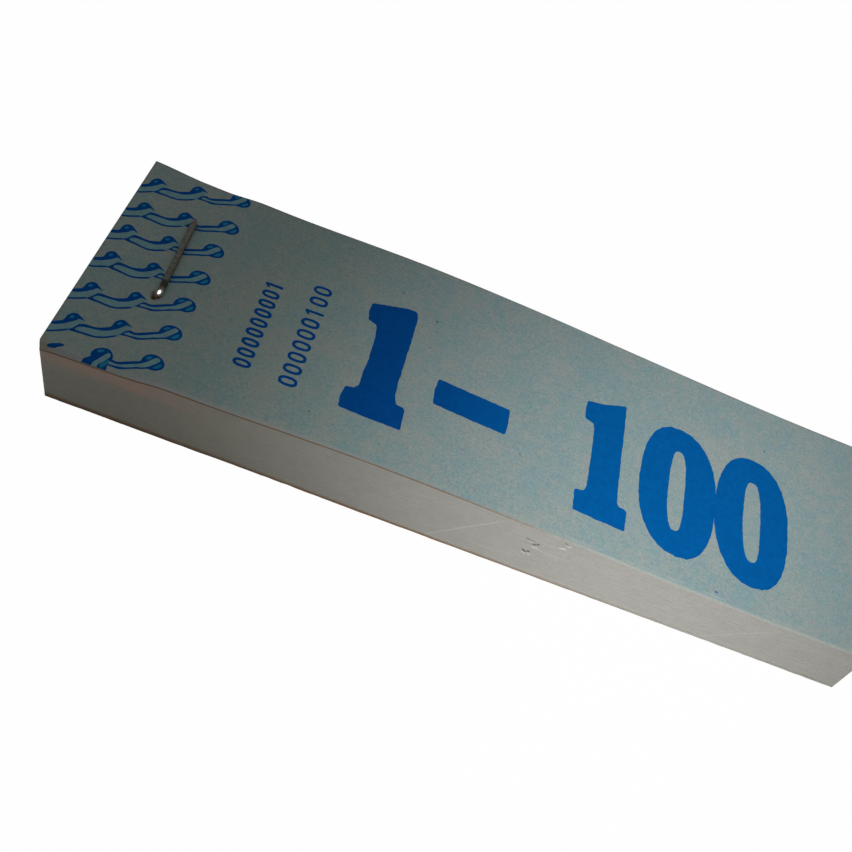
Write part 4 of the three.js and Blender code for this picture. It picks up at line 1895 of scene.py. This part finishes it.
# Rows: middle knob from the stapled end and from the front edge, drop of the first link, slope of the last
ROPE_ROWS = (
    (6.95, 2.05, 1.5, -0.04),
    (7.15, 6.95, 1.85, 0.0),
    (7.0, 11.9, 1.36, 0.0),
    (7.04, 17.45, 1.08, -0.07),
    (6.91, 22.7, 1.08, -0.07),
    (7.2, 27.75, 1.36, -0.09),
    (6.85, 33.2, 1.85, -0.07),
)
LINK_STEP = (5.32, 1.23)


def shifted(outline, dx, dy, slope):
    return [(x + dx, y + dy + slope * x) for x, y in outline]


def rope_outlines():
    """The border's outlines by layer and by place in the row: first, middle and last link."""
    first = {"dark": [FRONT_DAB], "band": [], "spot": []}
    middle = {"dark": [FRONT_DARK], "band": [FRONT_BAND], "spot": list(FRONT_SPOTS)}
    last = {"dark": [], "band": [], "spot": []}
    for number, (x, y, fall, slope) in enumerate(ROPE_ROWS):
        lean = (fall - LINK_STEP[1]) / LINK_STEP[0]
        last["dark"].append(shifted(LOOP_DARK, x, y, slope))
        last["band"].append(shifted(LOOP_BAND, x, y, slope))
        last["spot"] += [shifted(spot, x, y, slope) for spot in LOOP_SPOTS]
        if number == 0:
            continue
        for links, step in ((middle, 0), (first, -1)):
            place = (x + step * LINK_STEP[0], y + step * fall, lean)
            links["dark"].append(shifted(LINK_DARK, *place))
            links["band"].append(shifted(LINK_BAND, *place))
            links["spot"].append(shifted(LINK_SPOT, *place))
    return first, middle, last


class TICKETBOOK_OT_rope_border(bpy.types.Operator):
    """Print the rope border round the staple in two blues"""

    bl_idname = "ticketbook.rope_border"
    bl_label = "Rope border"

    def execute(self, context):
        finishes = {"dark": (blue_ink(), 0.005), "band": (tint_ink(), 0.010), "spot": (spot_ink(), 0.015)}
        for layer, (material, film) in finishes.items():
            parts = []
            for column, links in enumerate(rope_outlines()):
                outlines = [roughened(smoothed(outline), 0.03, 0.2) for outline in links[layer]]
                part = flat_print(f"rope_{layer}_{column}", outlines)
                print_on_cover(part, (film + 0.001 * column) * MM)
                parts.append(part)
            shape = join_pieces(parts, f"rope_border_{layer}")
            finish_mesh(shape, material)
            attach(shape, "book")
        return {"FINISHED"}


# Numbers on the tickets

def number_shape(name, text, height):
    """Plain digits as a flat mesh in millimetres, centred on the origin."""
    words = bpy.data.curves.new(name, "FONT")
    words.body = text
    words.size = height / 0.72
    words.align_x = "CENTER"
    words.align_y = "CENTER"
    words.resolution_u = 3
    return mesh_from(name, words, 0.002)


class TICKETBOOK_OT_ticket_numbers(bpy.types.Operator):
    """Print each ticket's number on its stub strip and on the ticket"""

    bl_idname = "ticketbook.ticket_numbers"
    bl_label = "Ticket numbers"

    def execute(self, context):
        middle = book().width / MM / 2
        net = (np.arange(2, book().length / MM, 2.0), np.arange(2, book().width / MM, 2.0))
        bodies = {leaf: f"leaf_{leaf_label(leaf)}" for leaf in range(1, SINGLE_LEAVES + 1)}
        for first in range(SINGLE_LEAVES + 1, TURNING_LEAVES + 1, PACKET_SIZE):
            bodies[first] = f"packet_{packet_span(first)}"
        bodies[TURNING_LEAVES + 1] = "book"
        for leaf, body in bodies.items():
            label = leaf_label(leaf)
            surface = leaf_over(leaf, True)
            ticket_body = "ticket_001" if leaf == 1 else body
            for part, (height, place), turn, carrier in (
                ("strip", STRIP_NUMBER, math.radians(90), body),
                ("ticket", TICKET_NUMBER, 0, ticket_body),
            ):
                shape = number_shape(f"{part}_number_{label}", label, height)
                set_points(shape, turned_in_plane(get_points(shape), (0, 1), turn) + (place, middle, 0))
                drape_print(shape, surface, inks().film, net)
                finish_mesh(shape, blue_ink())
                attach(shape, carrier)
        return {"FINISHED"}


# Small torn flakes on the front edge: place from the stapled end and the underside, length, height, turn
EDGE_FLAKES = (
    (66.8, 5.5, 0.55, 0.12, -10),
    (67.6, 5.55, 0.6, 0.2, -8),
    (67.65, 7.7, 0.95, 0.2, 6),
    (66.5, 8.9, 0.5, 0.1, -12),
    (70.65, 10.0, 0.7, 0.26, 10),
    (71.2, 11.05, 0.5, 0.18, 12),
)


class TICKETBOOK_OT_edge_flakes(bpy.types.Operator):
    """Raise the small torn flakes on the front edge of the leaves"""

    bl_idname = "ticketbook.edge_flakes"
    bl_label = "Edge flakes"

    def execute(self, context):
        b = book()
        for number, (along, height, length, depth, turn) in enumerate(EDGE_FLAKES, 1):
            deselect_all()
            bpy.ops.mesh.primitive_ico_sphere_add(subdivisions=3, radius=0.5)
            flake = bpy.context.object
            points = get_points(flake)
            for index, point in enumerate(points):
                rough = noise.noise_vector(Vector(point) * 2.6 + Vector((number * 3.1, 0, 0)))
                points[index] = point * (1 + 0.45 * rough.x)
            points[:, 2] += 0.35 * points[:, 0] ** 2
            points *= (length * MM, 0.12 * MM, depth * MM)
            turned = turned_in_plane(points, (0, 2), math.radians(turn))
            set_points(flake, turned + (SPINE + along * MM, FRONT - 0.02 * MM, height * MM))
            flake.name = flake.data.name = f"edge_flake_{number}"
            finish_mesh(flake, flake_material())
            pitch = leaf_height(1, along * MM) - leaf_height(0, along * MM)
            leaf = LEAF_COUNT - math.floor((height * MM - b.board) / pitch)
            first = leaf - (leaf - 1) % PACKET_SIZE
            body = f"packet_{packet_span(first)}" if first <= TURNING_LEAVES else "book"
            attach(flake, body)
        return {"FINISHED"}


class TICKETBOOK_OT_studio(bpy.types.Operator):
    """Set the pale floor, the lights and the camera"""

    bl_idname = "ticketbook.studio"
    bl_label = "Studio"

    def execute(self, context):
        look = studio()
        scene = context.scene
        deselect_all()
        bpy.ops.mesh.primitive_plane_add(size=4, location=(0, 0, -0.05 * MM))
        floor = context.object
        floor.name = "floor"
        floor.data.materials.append(floor_material())
        key = self.add_light("SPOT", "key_light", Vector(look.key_aim), Vector(look.key_way),
                             look.key_distance, look.key_power)
        key.spot_size = 2 * math.atan(look.key_reach / look.key_distance)
        key.spot_blend = 1.0
        key.shadow_soft_size = 0.03
        facet, way = facet_plane()
        sight = (Vector(look.camera_place) - facet).normalized()
        mirrored = 2 * sight.dot(way) * way - sight
        glint = self.add_light("AREA", "overhead_light", facet, mirrored, 0.25, look.glint_power)
        glint.shape = "DISK"
        glint.size = 0.06
        scene.world = self.even_light(look.sky)
        camera = bpy.data.cameras.new("camera")
        camera.lens = look.lens
        camera.sensor_width = look.sensor
        camera.clip_start = 1 * MM
        camera.clip_end = 20
        stand = bpy.data.objects.new("camera", camera)
        scene.collection.objects.link(stand)
        stand.location = look.camera_place
        stand.rotation_euler = look.camera_turn
        scene.camera = stand
        scene.view_settings.view_transform = "Standard"
        return {"FINISHED"}

    def add_light(self, kind, name, aim, way, distance, power):
        light = bpy.data.lights.new(name, kind)
        light.energy = power
        stand = bpy.data.objects.new(name, light)
        bpy.context.scene.collection.objects.link(stand)
        stand.location = aim + way.normalized() * distance
        stand.rotation_euler = (-way).to_track_quat("-Z", "Y").to_euler()
        return light

    def even_light(self, strength):
        """A sky that lights evenly and that the camera sees white."""
        world = bpy.data.worlds.new("even_light")
        world.use_nodes = True
        desk = NodeDesk(world.node_tree)
        light = world.node_tree.nodes["Background"]
        desk.feed(light.inputs["Color"], (1, 1, 1))
        light.inputs["Strength"].default_value = strength
        white = desk.add("ShaderNodeBackground", {"Color": (1, 1, 1), "Strength": 1.0}).outputs[0]
        seen = desk.add("ShaderNodeLightPath").outputs["Is Camera Ray"]
        mixed = desk.add("ShaderNodeMixShader", {0: seen, 1: light.outputs[0], 2: white}).outputs[0]
        desk.feed(world.node_tree.nodes["World Output"].inputs["Surface"], mixed)
        return world


OPERATORS = (
    TICKETBOOK_OT_back_board,
    TICKETBOOK_OT_board_fibres,
    TICKETBOOK_OT_resting_leaves,
    TICKETBOOK_OT_turning_packets,
    TICKETBOOK_OT_single_leaves,
    TICKETBOOK_OT_first_leaf,
    TICKETBOOK_OT_front_cover,
    TICKETBOOK_OT_wire_staple,
    TICKETBOOK_OT_cover_numerals,
    TICKETBOOK_OT_cover_serials,
    TICKETBOOK_OT_rope_border,
    TICKETBOOK_OT_ticket_numbers,
    TICKETBOOK_OT_edge_flakes,
    TICKETBOOK_OT_studio,
)
SETTINGS = {
    "ticket_book": BookSizes,
    "ticket_staple": StapleSizes,
    "ticket_papers": PaperLook,
    "ticket_inks": InkLook,
    "ticket_studio": StudioLook,
}


class TICKETBOOK_PT_panel(bpy.types.Panel):
    """Sizes, colours and steps of the ticket book"""

    bl_idname = "TICKETBOOK_PT_panel"
    bl_label = "Ticket Book"
    bl_space_type = "VIEW_3D"
    bl_region_type = "UI"
    bl_category = "Ticket Book"

    def draw(self, context):
        for name, group in SETTINGS.items():
            box = self.layout.box()
            box.label(text=group.__doc__)
            for setting in group.__annotations__:
                box.prop(getattr(context.scene, name), setting)
        for operator in OPERATORS:
            self.layout.operator(operator.bl_idname)


def register():
    for group in SETTINGS.values():
        bpy.utils.register_class(group)
    for name, group in SETTINGS.items():
        setattr(bpy.types.Scene, name, PointerProperty(type=group))
    for operator in OPERATORS:
        bpy.utils.register_class(operator)
    bpy.utils.register_class(TICKETBOOK_PT_panel)


def unregister():
    bpy.utils.unregister_class(TICKETBOOK_PT_panel)
    for operator in reversed(OPERATORS):
        bpy.utils.unregister_class(operator)
    for name in SETTINGS:
        delattr(bpy.types.Scene, name)
    for group in reversed(list(SETTINGS.values())):
        bpy.utils.unregister_class(group)


def main():
    register()
    noise.seed_set(studio().seed)
    for operator in OPERATORS:
        module, call = operator.bl_idname.split(".")
        getattr(getattr(bpy.ops, module), call)()


if __name__ == "__main__":
    main()
